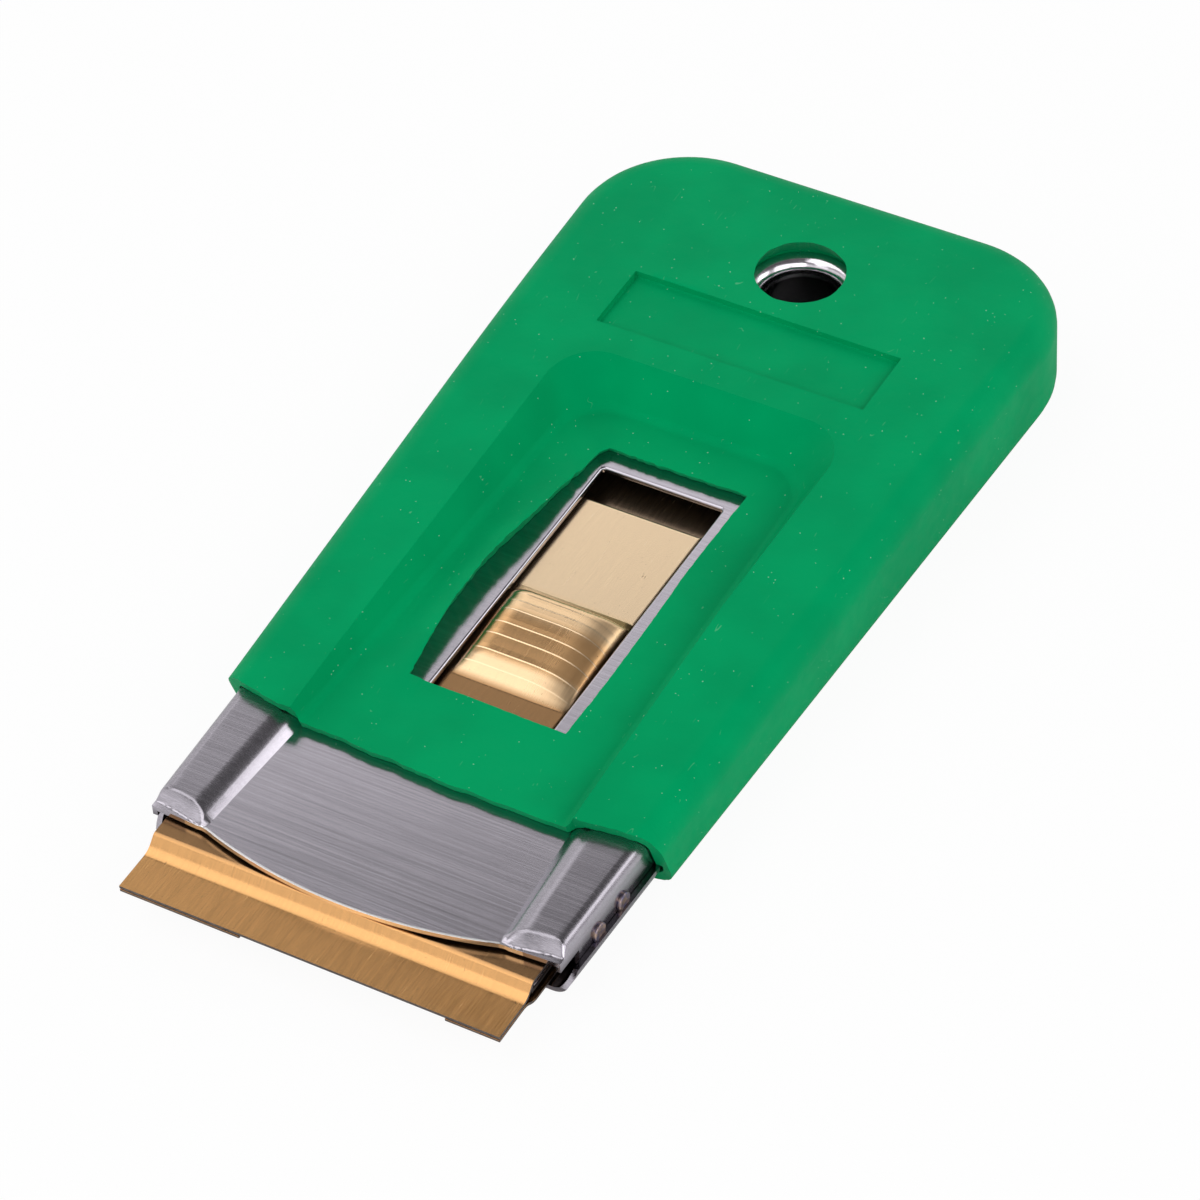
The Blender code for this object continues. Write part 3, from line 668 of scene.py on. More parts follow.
def sheet_steel_material(tones, sizes):
    """Sheet brushed along X, duller on the ridges, with painted shade darkening the ridges and the
    side walls low down.
    """
    tree, shader, lines, body, parts = brushed_steel("Brushed steel", tones.steel, 15000.0, 70.0)
    # Painted shade: the ridges' tops and the side walls low down are darkened to copy the darker
    # reflections they show.
    ridges = spread(tree, parts[2], 0.0062, 0.0068, 1.0, 0.76)
    walls = spread(tree, parts[2], 0.0046, 0.0056, 0.55, 1.0)
    body = shade_by(tree, body, product(tree, ridges, walls))
    # Painted highlight: a near-white band along the rounded top of the bowed front edge.
    body = front_edge_highlight(tree, parts, sizes, body)
    rough = spread(tree, lines, 0.25, 0.75, 0.15, 0.25)
    rough = maths(tree, "ADD", rough, spread(tree, parts[2], 0.0061, 0.0067, 0.0, 0.06))
    finish_brushed(tree, shader, body, rough, lines)


def rolled_steel_material(tones):
    """Bright steel of the eyelet, with painted shade down in its bore."""
    base = shaded(tones.steel, 1.0, (1.5, 1.5, 1.45))
    tree, shader, lines, body, parts = brushed_steel("Rolled steel", base, 15000.0, 70.0)
    # Painted shade: the bore's wall is darkened below the rolled mouth.
    bore = spread(tree, parts[2], eyelet_high.z - 0.0020, eyelet_high.z - 0.0016, 0.10, 1.0)
    rough = spread(tree, lines, 0.25, 0.75, 0.12, 0.2)
    finish_brushed(tree, shader, shade_by(tree, body, bore), rough, lines)


def blade_material(tones):
    """Blade steel ground along Y."""
    base = shaded(tones.steel, 1.0, (1.2, 1.2, 1.18))
    tree, shader, lines, body = brushed_steel("Ground blade steel", base, 70.0, 15000.0)[:4]
    finish_brushed(tree, shader, body, spread(tree, lines, 0.25, 0.75, 0.16, 0.26), lines)


# Stations between which the clamp takes on a new colour, from its lips to its tail
gold_zones = (
    # Painted shade: dark brown behind the joggle, under the overhanging front edge of the cover.
    (0.0056, 0.0063, (0.33, 0.185, 0.085)),
    (0.0350, 0.0360, (0.78, 0.545, 0.32)),
    (0.0470, 0.0485, (0.76, 0.575, 0.38)),
)


def line_highlights(tree, parts, sizes):
    """Mask of the painted highlights on the crests of the fine lines across the dome."""
    side = maths(tree, "DIVIDE", maths(tree, "MAXIMUM", parts[0], 0.0), sizes.dome_half)
    bow = product(tree, maths(tree, "POWER", side, 2.0), sizes.line_bow)
    bent = maths(tree, "ADD", parts[1], bow)
    full_rise = 0.00006
    highlight_mask = 0.0
    for place, rise in dome_lines:
        away = maths(tree, "ABSOLUTE", maths(tree, "SUBTRACT", bent, station(place)))
        line = spread(tree, away, 0.00002, 0.00008, rise / full_rise, 0.0)
        highlight_mask = maths(tree, "MAXIMUM", line, highlight_mask)
    return highlight_mask


def gold_material(tones, sizes):
    """Gold passivated sheet drawn along Y, whose tone changes from the lips to the tail."""
    tree, shader, place = new_material("Gold passivated steel")
    parts = split(tree, place)

    def behind(low, high):
        return spread(tree, parts[1], station(low), station(high))

    def before(low, high):
        return spread(tree, parts[1], station(low), station(high), 1.0, 0.0)

    body = tuple(tones.gold)
    for low, high, tone in gold_zones:
        body = lay_over(tree, body, tone, behind(low, high))
    lines = group_node(tree, "Brushed Lines", place, Across=260.0, Along=7000.0)
    body = shade_by(tree, body, spread(tree, lines, 0.3, 0.7, 0.93, 1.05))
    # Painted shade: the middle of the dome is darkened to copy its darker reflection.
    dome_shade_band = (behind(0.0374, 0.0386), before(0.0425, 0.0445))
    body = lay_over(tree, body, (0.70, 0.41, 0.19), *dome_shade_band)
    dust = group_node(tree, "Dust Specks", place, Density=2600.0, Size=0.15, Amount=0.25)
    body = lay_over(tree, body, (0.08, 0.05, 0.03), dust, 0.5)
    hair = group_node(tree, "Fine Scratches", place, Scale=800.0, Width=0.0030, Amount=0.27)
    body = lay_over(tree, body, (0.16, 0.10, 0.05), hair, 0.5)
    # Painted highlights on the crests of the dome's fine lines.
    body = lay_over(tree, body, (0.97, 0.82, 0.60), line_highlights(tree, parts, sizes))
    # Painted shade in the crease behind the dome, stronger towards the right.
    fading = spread(tree, parts[0], -0.0050, 0.0050, 0.35, 0.9)
    crease = (behind(0.04690, 0.04705), before(0.04765, 0.04770), fading)
    body = lay_over(tree, body, (0.17, 0.125, 0.045), *crease)
    flank = spread(tree, parts[0], 0.0005, 0.0055, 0.0, 0.14)
    flank = product(tree, flank, behind(0.0350, 0.0360), before(0.0465, 0.0470))
    rough = maths(tree, "ADD", flank, spread(tree, lines, 0.25, 0.75, 0.20, 0.28))
    finish_brushed(tree, shader, body, rough, lines)


def clouded_metal(name, scale, tones, rough, ends=(0.3, 0.7), metallic=1.0, stretch=1.0):
    """Metal whose colour and roughness change in small clouds, finer along Z by a stretch."""
    tree, shader, place = new_material(name)
    cloud = noise_at(tree, mapped(tree, place, (1.0, 1.0, stretch)), scale, 3.0)
    body = mix_colours(tree, spread(tree, cloud, *ends), *tones)
    set_surface(tree, shader, body, spread(tree, cloud, 0.2, 0.8, *rough), metallic)


# Soft grip


def grip_top(sizes, y):
    """Height of the grip's top, which rises from the front and runs level at the back."""
    blend = 0.010
    slope = (grip_high.z - sizes.front_height) / (sizes.level - sizes.front)
    left = station(sizes.level) - y
    if left <= -blend:
        return grip_high.z
    if left >= blend:
        return grip_high.z - slope * left
    return grip_high.z - slope * (left + blend) ** 2 / (4 * blend)


def grip_body(sizes):
    """Outside of the grip, with round corners and rims."""
    item = block("grip_skin", (-grip_high.x, station(sizes.front) - 0.001, 0.0), grip_high)
    middle = grip_high.z / 2

    def flare(x, y, z):
        slant = sizes.slant if y < 0.0 and z < middle else 0.0
        return flared(x, y, sizes.front_half), y + slant, z

    form_by(item, flare)
    bevel(item, back_corner, sizes.corner, 24)
    slice_at(item, [station(0.026 + 0.004 * count) for count in range(17)])
    form_by(item, lambda x, y, z: (x, y, grip_top(sizes, y) if z > middle else z))
    bevel(item, lambda e: on_rim(e, 1), sizes.top_rounding, 8)
    bevel(item, lambda e: on_rim(e, -1), sizes.bottom_rounding, 6)
    return item


def dish_tool(sizes):
    """Space above the sunken area, with leaning sides and a round foot."""
    high = grip_high.z + overrun
    low = sizes.dish_floor
    reach_share = (high - low) / (grip_high.z - low)
    item = tool_box("dish_tool", overrun, sizes.front - overrun, sizes.dish_back, low, high)
    front_lean, side_lean, back_lean = 0.0017, 0.0027, 0.0032
    corner, foot = 0.0042, 0.0007

    def place(x, y, z):
        lean = reach_share if z > (low + high) / 2 else 0.0
        if y > 0.0:
            half = sizes.dish_back_half + side_lean * lean
            return math.copysign(half, x), y + back_lean * lean, z
        return math.copysign(sizes.dish_front_half + front_lean * lean, x), y, z

    def at_foot(edge):
        high_face, low_face = normals(edge)
        return low_face.z < -facing and high_face.y > -0.5

    form_by(item, place)
    bevel(item, leaning_back_corner, corner, 12)
    bevel(item, at_foot, foot, 6)
    return item


def cavity_tools(sizes):
    """Spaces inside the grip that the housing's two shells fill, with a small gap."""
    gap = 0.00004
    upper = housing_form("upper_cavity", sizes, gap, shell_low.z - gap, -overrun)
    lower = tray_form("lower_cavity", sizes, gap, tray_high.z + gap, -overrun)
    return upper, lower


# Stations along the grip's window, with half its width on the left and on the right
window_sides = (
    (0.0300, 0.00785, 0.00820),
    (0.0312, 0.00790, 0.00830),
    (0.0363, 0.00845, 0.00840),
    (0.0424, 0.00895, 0.00840),
    (0.0483, 0.00880, 0.00825),
    (0.0532, 0.00825, 0.00805),
    (0.0579, 0.00785, 0.00800),
    (0.0634, 0.00755, 0.00805),
    (0.0650, 0.00730, 0.00810),
    (0.0660, 0.00670, 0.00810),
    (0.0675, 0.00560, 0.00800),
)
# Line along which the sleeve stands up most, and how far to each side it does
lift_line = -0.0084
lift_reach = 0.0046
# Unevenness of the window's sides and ends, of the hole's edge and of the grip's front
side_waves = ((0.0006, 0.00016, 1.7), (0.004, 0.00014, 5.1))
end_waves = ((0.0007, 0.00016, 8.3), (0.004, 0.00018, 2.9))
hole_waves = ((0.0011, 0.022, 3.3),)
front_waves = ((0.0010, 0.00014, 4.4), (0.0028, 0.00020, 7.2))


def edge_lift(sizes, x, y):
    """How far the stretched sleeve stands off the panel along the window's left, as a share."""
    middle = station((sizes.window_front + sizes.window_back) / 2 - 0.003)
    reach = (sizes.window_back - sizes.window_front) / 2
    across = 1.0 - min(abs(x - lift_line) / lift_reach, 1.0)
    along = 1.0 - min(abs(y - middle) / reach, 1.0) ** 2
    return along * across * across * (3.0 - 2.0 * across)


def ragged_window(sizes):
    """Tool for the grip's window, whose cut edges are uneven and lean under at the left and back."""
    floor, front, back = sizes.dish_floor, sizes.window_front, sizes.window_back
    half, step = 0.0079, 0.0003
    item = tool_box("window_tool", half, front, back, floor - 0.0015, floor + 0.0030)
    slice_at(item, [station(front + step * count) for count in range(1, 115)])
    slice_at(item, [step * count for count in range(-26, 27)], axis=0)
    left_lean, back_lean = 0.48, 0.55

    def roughen(x, y, z):
        wide = between(window_sides, y - lips_y, 1 if x < 0.0 else 2)
        if x < 0.0:
            wide += left_lean * (floor + sizes.edge_lift * edge_lift(sizes, lift_line, y) - z)
        share = x / half
        across = share * wide + ragged((y, share), side_waves) * (1.0 if x < 0.0 else 0.3)
        end = max((y - station(front)) / (back - front), 0.0) ** 8
        wave = ragged((x, y), end_waves) * (0.35 + 0.65 * end)
        along = y + wave + end * back_lean * (floor - z)
        return across, along, z

    form_by(item, roughen)
    return item


def ragged_hole(sizes):
    """Tool for the grip's hole, slightly uneven and wider below, over the eyelet's rim."""
    low = eyelet_high.z + 0.0001
    high = grip_high.z + 0.0003
    middle = (low + high) / 2
    item = puck("hole_tool", (0.0, eyelet_y), sizes.hole_radius, low, high, 96)
    low_share = (eyelet_high.x + 0.0002) / sizes.hole_radius - 1.0
    high_share = -0.04

    def roughen(x, y, z):
        away = Vector((x, y - eyelet_y))
        stretch = 1.0 + ragged(away, hole_waves) + (low_share if z < middle else high_share)
        return away.x * stretch, eyelet_y + away.y * stretch, z

    form_by(item, roughen)
    return item


# Places across the grip, with the station of its front edge there
front_line = (
    (-0.0235, 0.02340),
    (-0.0203, 0.02275),
    (-0.0180, 0.02215),
    (-0.0159, 0.02195),
    (-0.0117, 0.02205),
    (-0.0057, 0.02170),
    (0.0000, 0.02145),
    (0.0100, 0.02140),
    (0.0155, 0.02150),
    (0.0185, 0.02195),
    (0.0214, 0.02215),
    (0.0235, 0.02220),
)


def ragged_front(sizes):
    """Tool that leaves the grip's front edge slightly uneven."""
    front = station(sizes.front)
    high = grip_high.z + overrun
    item = tool_box("front_tool", wide_cut, sizes.front - overrun, sizes.front, -overrun, high)
    slice_at(item, [0.0005 * count for count in range(-59, 60)], axis=0)
    lean_share = sizes.slant / sizes.front_height

    def roughen(x, y, z):
        if y < front - overrun / 2:
            return x, y, z
        level = sizes.dish_floor if abs(x) < sizes.dish_front_half else sizes.front_height
        lean = lean_share * (level - z)
        return x, station(between(front_line, x, 1)) + lean + ragged((x, z), front_waves), z

    form_by(item, roughen)
    return item


def lift_window_edge(item, sizes):
    """Lift the dish's floor along the left of the window, as a stretched sleeve stands."""
    slice_at(item, [-0.0062 - 0.0006 * count for count in range(12)], axis=0)
    slice_at(item, [station(0.028 + 0.002 * count) for count in range(20)])

    def lift(x, y, z):
        if abs(z - sizes.dish_floor) > 0.0002:
            return x, y, z
        return x, y, z + sizes.edge_lift * edge_lift(sizes, x, y)

    form_by(item, lift)


def round_front(item, sizes):
    """Roll the upper edge of the grip's front."""
    roll, lowest = 0.00045, 0.006
    reach = station(sizes.front) + 0.0016

    def on_edge(edge):
        high, low = normals(edge)
        spot = middle_of(edge)
        at_front = low.y < -0.8 and high.y > -0.6 and spot.y < reach
        return at_front and edge.is_convex and spot.z > lowest

    bevel(item, on_edge, roll, 4)


def sink_dish(item, sizes):
    """Sink the area round the window, with a round brow."""
    cut(item, dish_tool(sizes))
    lift_window_edge(item, sizes)

    def on_brow(edge):
        return normals(edge)[1].z > 0.2 and edge.calc_face_angle(0.0) > brow_angle

    brow = 0.0015
    bevel(item, on_brow, brow, 8)


def cut_label(item, sizes):
    """Sink the bare label recess."""
    low, high = grip_high.z - sizes.label_depth, grip_high.z + overrun
    label = tool_box("label_tool", sizes.label_half, sizes.label_front, sizes.label_back, low, high)
    foot = 0.00012
    bevel(label, lambda e: normals(e)[1].z < -facing, foot, 2)
    cut(item, label)


def round_cut_edges(item, sizes):
    """Round the upper edges of the window, the label recess and the hole a little."""
    sharp, rounding = math.radians(40), 0.00014

    def on_edge(edge):
        if edge.calc_face_angle(0.0) < sharp or not edge.is_convex:
            return False
        high, low = normals(edge)
        spot = middle_of(edge)
        inside = abs(spot.x) < 0.015 and spot.y > station(sizes.window_front - 0.001)
        return inside and high.z > 0.88 and low.z > -0.7 and spot.z > sizes.dish_floor - tiny

    bevel(item, on_edge, rounding, 2)


def build_grip(sizes, housing, material):
    """Soft sleeve with its sunken area, window, label recess and hole."""
    item = grip_body(sizes)
    sink_dish(item, sizes)
    for tool in cavity_tools(housing):
        cut(item, tool)
    cut(item, ragged_front(sizes))
    round_front(item, sizes)
    cut_label(item, sizes)
    cut(item, ragged_window(sizes))
    drill(item, eyelet_high.x + 0.0003, -overrun, eyelet_high.z + 0.00015, 96)
    cut(item, ragged_hole(sizes))
    drill(item, sizes.hole_radius, -overrun, eyelet_high.z, 96)
    round_cut_edges(item, sizes)
    finish_piece(item, material, "housing", ["grip_sleeve"])


# Steel housing

# Radius of the bore through both shells, in which the eyelet sits
shell_bore = 0.0049


def housing_form(name, sizes, grow, low, front):
    """Closed solid of the upper shell's outside from a front station, grown by an amount."""
    top_back = shell_high.z
    item = block(
        name,
        (-shell_high.x - grow, station(front), low),
        (shell_high.x + grow, shell_high.y + grow, top_back + grow),
    )
    middle = (low + top_back) / 2
    slope = (top_back - sizes.front_top) / (shell_high.y - station(sizes.front))

    def flare(x, y, z):
        height = top_back + slope * (y - shell_high.y) + grow if z > middle else z
        return flared(x, y, sizes.front_half + grow), y, height

    form_by(item, flare)
    bevel(item, back_corner, sizes.corner + grow, 18)
    bevel(item, lambda e: on_rim(e, 1), sizes.bend + grow, 8)
    cut(item, panel_tool(sizes, grow))
    return item


def on_brow(edge):
    """The edge lies along the brow of the slope beside the sunken panel."""
    return normals(edge)[1].z > 0.3 and edge.calc_face_angle(0.0) > brow_angle and edge.is_convex


def panel_tool(sizes, grow):
    """Space above the sunken panel."""
    floor = sizes.panel_top + grow
    run_share = sizes.panel_slope / (sizes.front_top - sizes.panel_top)
    taper, corner = station(0.022), 0.0040
    back, high = sizes.panel_back + grow, shell_high.z + overrun
    item = tool_box("panel_tool", overrun, -2 * overrun, back, floor, high)
    slice_at(item, [station(sizes.panel_corner), taper])

    def place(x, y, z):
        half = sizes.panel_front_half if y < taper - tiny else sizes.panel_back_half
        lean = run_share * (z - floor)
        return math.copysign(half - grow + lean, x), y + (lean if y > 0.0 else 0.0), z

    form_by(item, place)
    bevel(item, leaning_back_corner, corner, 8)
    return item


def panel_edge(sizes, x):
    """Station of the upper shell's front edge at a distance from the middle."""
    half = sizes.panel_front_half
    if abs(x) <= half:
        radius, centre = front_circle(sizes)
        return centre - math.sqrt(radius**2 - x**2)
    run = 0.0050
    share = min((abs(x) - half) / run, 1.0)
    return sizes.panel_corner + (sizes.front - sizes.panel_corner) * share


def front_tool(sizes):
    """Tool that gives the upper shell its bowed front edge."""
    high = 2 * shell_high.z
    item = tool_box("front_edge_tool", wide_cut, -2 * overrun, 0.002, -overrun, high)
    half = sizes.panel_front_half
    places = [half * count / 16 for count in range(-16, 17)] + [-half - 0.0005, half + 0.0005]
    slice_at(item, places, axis=0)
    form_by(item, lambda x, y, z: (x, station(panel_edge(sizes, x)) if y > station(0.0) else y, z))
    return item


def ridge_lips(item, sizes):
    """Roll the front of each side ridge down to a lip."""
    inner = sizes.panel_front_half
    middle = (inner + sizes.front_half) / 2
    reach = (sizes.front_half - inner) / 2
    lip_reach, lip_drop = 0.004, 0.00015

    def press(x, y, z):
        away = y - station(panel_edge(sizes, x))
        base = sizes.panel_top - lip_drop * unit((abs(x) - inner) / 0.001)
        if z <= base + tiny or abs(x) < inner - 0.0002 or away > lip_reach:
            return x, y, z
        crown = 1.0 - min(abs(abs(x) - middle) / reach, 1.0) ** 2
        run = 0.0008 + 0.0004 * crown
        drop = (1.0 - unit((away - 0.0001) / run)) ** 1.2
        dent = 0.05 * crown * math.exp(-(((away - run * 0.75) / 0.0005) ** 2))
        return x, y, base + (z - base) * max(1.0 - 0.97 * drop - dent, 0.0)

    form_by(item, press)


def open_cover(item, sizes):
    """Cut the slide's window, the notch below the side walls' fronts and the eyelet's bore."""
    top, front, back = sizes.panel_top, sizes.window_front, sizes.window_back
    window = tool_box("slide_window_tool", sizes.window_half, front, back, top - 0.002, top + 0.002)
    bevel(window, vertical, 0.0003, 3)
    cut(item, window)
    back, high = sizes.front + sizes.notch_length, tray_low.z + sizes.notch_height
    cut(item, tool_box("notch_tool", wide_cut, 0.0, back, 0.0, high))
    drill(item, shell_bore, 0.0, grip_high.z, 64)


def round_cover_edges(item, sizes):
    """Round the upper edges of the cover's front and of its window a little."""
    rounding = 0.00026

    def on_top_edge(edge):
        high_enough = middle_of(edge).z > sizes.panel_top - 0.0002
        return edge.calc_face_angle(0.0) > square_angle and edge.is_convex and high_enough

    def on_front_edge(edge):
        spot = middle_of(edge)
        in_panel = abs(spot.x) < sizes.panel_front_half - 0.0006
        return on_top_edge(edge) and in_panel and spot.y < station(sizes.front)

    def on_window_edge(edge):
        spot = middle_of(edge)
        along = station(sizes.window_front) - tiny < spot.y < station(sizes.window_back) + tiny
        return on_top_edge(edge) and abs(spot.x) < sizes.window_half + tiny and along

    bevel(item, on_front_edge, rounding, 5)
    bevel(item, on_window_edge, rounding, 4)


def build_upper_shell(sizes, material):
    """Pressed cover with raised sides, a sunken panel, lips and the slide's window."""
    start, brow = 0.004, 0.0010
    item = housing_form("upper_cover", sizes, 0.0, shell_low.z, start)
    bevel(item, on_brow, brow, 8)
    cut(item, front_tool(sizes))
    slice_at(item, [station(sizes.panel_corner + 0.00012 * count) for count in range(1, 34)])
    columns = [sizes.panel_front_half + 0.0012 + 0.0004 * count for count in range(9)]
    slice_at(item, [-x for x in columns] + columns, axis=0)

    def open_side(face):
        at_front = face.normal.y < -0.7 and face.calc_center_median().y < station(0.012)
        return face.normal.z < -facing or at_front

    open_up(item, open_side)
    ridge_lips(item, sizes)
    thicken(item, sizes.sheet, use_quality_normals=True)
    open_cover(item, sizes)
    round_cover_edges(item, sizes)
    finish_piece(item, material, "housing", ["upper_shell"])


def tray_form(name, sizes, grow, high, front):
    """Closed solid of the tray's outside, with its lower edges rounded."""
    item = block(
        name,
        (tray_low.x - grow, station(front), tray_low.z - grow),
        (tray_high.x + grow, tray_high.y + grow, high),
    )
    wider = tray_high.x - shell_high.x + grow
    form_by(item, lambda x, y, z: (flared(x, y, sizes.front_half + wider), y, z))
    bevel(item, back_corner, sizes.corner + wider, 18)
    bevel(item, lambda e: on_rim(e, -1), sizes.tray_bend + grow, 8)
    return item


def build_tray(sizes, material):
    """Tray whose edges curl up outside the upper shell's side walls."""
    item = tray_form("lower_tray", sizes, 0.0, tray_high.z, sizes.tray_front)
    open_up(item, lambda f: f.normal.z > facing or f.normal.y < -facing)
    thicken(item, sizes.sheet, use_quality_normals=True)
    front = sizes.tray_front
    foot = tray_low.z + sizes.tray_rise
    tool = tool_box("tray_front_tool", wide_cut, front - overrun, front, foot, clear_top)
    reach_share = sizes.tray_chamfer / (tray_high.z - foot)

    def slant(x, y, z):
        if y < station(front - overrun / 2):
            return x, y, z
        return x, y + (z - foot) * reach_share, z

    form_by(tool, slant)
    cut(item, tool)
    drill(item, shell_bore, -overrun, grip_high.z, 64)
    finish_piece(item, material, "housing", ["lower_shell"])


def eyelet_profile():
    """Radii and heights round the eyelet's wall, whose two ends roll outwards."""
    bore, wall, rings = 0.0039, 0.0004, 10
    brim = eyelet_high.x
    roll = brim - bore
    profile = []
    for end, sign in ((eyelet_high.z, 1), (eyelet_low.z, -1)):
        for radius in (roll - wall, roll):
            points = []
            for step in range(rings + 1):
                angle = math.pi / 2 * step / rings
                height = end - sign * (roll - radius * math.cos(angle))
                points.append((brim - radius * math.sin(angle), height))
            profile.append(points)
    top_outer, top_inner, low_outer, low_inner = profile
    return top_outer + low_outer[::-1] + low_inner + top_inner[::-1]


def build_eyelet(material):
    """Tubular rivet with rolled ends, turned round the hanging hole's axis."""
    form = bmesh.new()
    points = [form.verts.new((radius, eyelet_y, height)) for radius, height in eyelet_profile()]
    for first, second in zip(points, points[1:] + points[:1]):
        form.edges.new((first, second))
    item = object_from("eyelet_ring", form)
    with editing(item, "VERT"):
        bpy.ops.mesh.select_all(action="SELECT")
        bpy.ops.mesh.spin(steps=96, angle=math.tau, center=(0.0, eyelet_y, 0.0), axis=(0.0, 0.0, 1.0))
        bpy.ops.mesh.select_all(action="SELECT")
        bpy.ops.mesh.remove_doubles(threshold=0.000002)
        bpy.ops.mesh.normals_make_consistent(inside=False)
    finish_piece(item, material, "housing", ["hang_eyelet"])


def build_weld(node, material):
    """Slightly raised spot weld with a dimple."""
    low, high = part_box(node)
    middle = (low + high) / 2
    side = math.copysign(1.0, middle.x)
    radius = (high.y - low.y) / 2
    thickness = high.x - low.x
    item = puck(node + "_button", (0.0, 0.0), radius, 0.0, thickness, 40)
    with editing(item, "FACE"):
        pick(item, "faces", lambda f: f.normal.z > facing)
        bpy.ops.mesh.inset(thickness=radius * 0.25)
        bpy.ops.mesh.inset(thickness=radius * 0.3)
        bpy.ops.transform.translate(value=(0.0, 0.0, -thickness * 0.25))

    def on_brim(edge):
        return edge.calc_face_angle(0.0) > square_angle and middle_of(edge).z > thickness / 2

    bevel(item, on_brim, thickness * 0.4, 3)
    turn = Matrix.Rotation(side * math.pi / 2, 4, "Y")
    place = Matrix.Translation((low.x if side > 0 else high.x, middle.y, middle.z))
    item.data.transform(place @ turn)
    finish_piece(item, material, "housing", [node])


# Blade clamp

# Rise of each lip over its leaf, and radius of the leaves' back corners
lip_rise = 0.0008
leaf_corner = 0.003
# Rise of the lower leaf's tail, the station of the step up to it, and half its width
tail_rise = 0.00065
tail_step = 0.0262
tail_half = 0.0125
# Two hooks at the tongue's end go through slots in the lower leaf: their places, and half the widths
hook_places = (-0.0032, 0.0032)
hook_half = 0.0013
slot_half = 0.00145
# Radius of the bend at the tongue's end
tongue_bend = 0.0006


def rounded_line(line, radii):
    """Side profile whose bends are rounded, each with its own radius."""
    steps = 5
    result = [line[0]]
    for before, corner, after, radius in zip(line, line[1:], line[2:], radii):
        corner = Vector(corner)
        back = Vector(before) - corner
        ahead = Vector(after) - corner
        reach = min(radius, back.length * 0.45, ahead.length * 0.45)
        first = corner + back.normalized() * reach
        last = corner + ahead.normalized() * reach
        for step in range(steps + 1):
            t = step / steps
            point = first * (1 - t) ** 2 + corner * 2 * t * (1 - t) + last * t**2
            result.append((point.x, point.y))
    result.append(line[-1])
    return result


def sheet_strip(name, line, half):
    """Open strip of sheet that follows a side profile, made by pushing its end edge along."""
    deselect_all()
    bpy.ops.mesh.primitive_grid_add(x_subdivisions=2, y_subdivisions=1, size=1.0)
    item = bpy.context.object
    item.name = name
    first, second = Vector((0.0, *line[0])), Vector((0.0, *line[1]))
    form_by(item, lambda x, y, z: (x * 2 * half, *(first if y < 0 else second).yz))
    with editing(item, "EDGE"):
        pick(item, "edges", lambda e: all((v.co - second).yz.length < tiny for v in e.verts))
        for before, after in zip(line[1:], line[2:]):
            step = (0.0, after[0] - before[0], after[1] - before[1])
            bpy.ops.mesh.extrude_region_move(TRANSFORM_OT_translate={"value": step})
    return item


def trim(item, outline, low, high):
    """Keep the part of a sheet that lies inside a plan outline."""
    form = bmesh.new()
    form.faces.new([form.verts.new((x, y, low)) for x, y in reversed(outline)])
    tool = object_from("trim_tool", form)
    with editing(tool, "FACE"):
        bpy.ops.mesh.select_all(action="SELECT")
        bpy.ops.mesh.extrude_region_move(TRANSFORM_OT_translate={"value": (0.0, 0.0, high - low)})
        bpy.ops.mesh.select_all(action="SELECT")
        bpy.ops.mesh.normals_make_consistent(inside=False)
    cut(item, tool, "INTERSECT")


def mirrored(points):
    """Outline points with their mirror images, in order round the outline."""
    return points + [(-x, y) for x, y in reversed(points)]


def round_corner(x, y, radius):
    """Points of a quarter round corner about a centre, from its right to its back."""
    steps = 6
    angles = [math.pi / 2 * step / steps for step in range(steps + 1)]
    return [(x + radius * math.cos(angle), y + radius * math.sin(angle)) for angle in angles]


def leaf_outline(sizes, back):
    """Right side of a leaf's plan outline, from its lip to its round back corner."""
    edge = station(back)
    front = [(sizes.half, station(-overrun)), (sizes.half, edge)]
    return front + round_corner(sizes.half - leaf_corner, edge, leaf_corner)


def build_lower_leaf(sizes, material):
    """Lower leaf with its lip, pocket floor and the tail under the window."""
    base = leaf_low.z + sizes.leaf
    lip_top = base + lip_rise
    tail_top = base + tail_rise
    line = [
        (station(0.0), lip_top),
        (station(sizes.lip), lip_top),
        (station(sizes.lip + sizes.joggle), base),
        (station(tail_step), base),
        (station(tail_step + 0.0020), tail_top),
        (leaf_high.y, tail_top),
    ]
    item = sheet_strip("lower_leaf", rounded_line(line, (0.0008,) * 4), sizes.half + overrun)
    thicken(item, sizes.leaf)
    right = leaf_outline(sizes, 0.041) + [(tail_half, station(0.044))]
    right += round_corner(tail_half - leaf_corner, leaf_high.y - leaf_corner, leaf_corner)
    trim(item, mirrored(right), -overrun, 2 * overrun)
    middle, half, depth = 0.0035, 0.0105, 0.0006
    cut(item, tool_box("lip_notch_tool", half, -overrun, depth, 0.0, clear_top, middle))
    front, back = sizes.tongue_back - 0.00045, sizes.tongue_back + 0.00015
    for middle in hook_places:
        cut(item, tool_box("slot_tool", slot_half, front, back, 0.0, clear_top, middle))
    bevel(item, lambda e: e.calc_face_angle(0.0) > square_angle, 0.00004, 2)
    finish_piece(item, material, "clamp", ["clamp_leaf_bottom"])
    bare_cut_edges(item)


# Distances behind the dome's front, with the slope of its back there
dome_slopes = (
    (0.0, 0.33),
    (0.0024, 0.27),
    (0.0033, 0.13),
    (0.0062, 0.10),
    (0.0082, 0.07),
    (0.0092, 0.0),
    (0.0107, -0.03),
    (0.0120, -0.05),
)


def rise_along(rows, place):
    """Height reached at a place by following a table of slopes."""
    height = 0.0
    for low, high in zip(rows, rows[1:]):
        if place <= low[0]:
            break
        span = min(place, high[0]) - low[0]
        slope = low[1] + (high[1] - low[1]) * span / (high[0] - low[0])
        height += span * (low[1] + slope) / 2
    return height


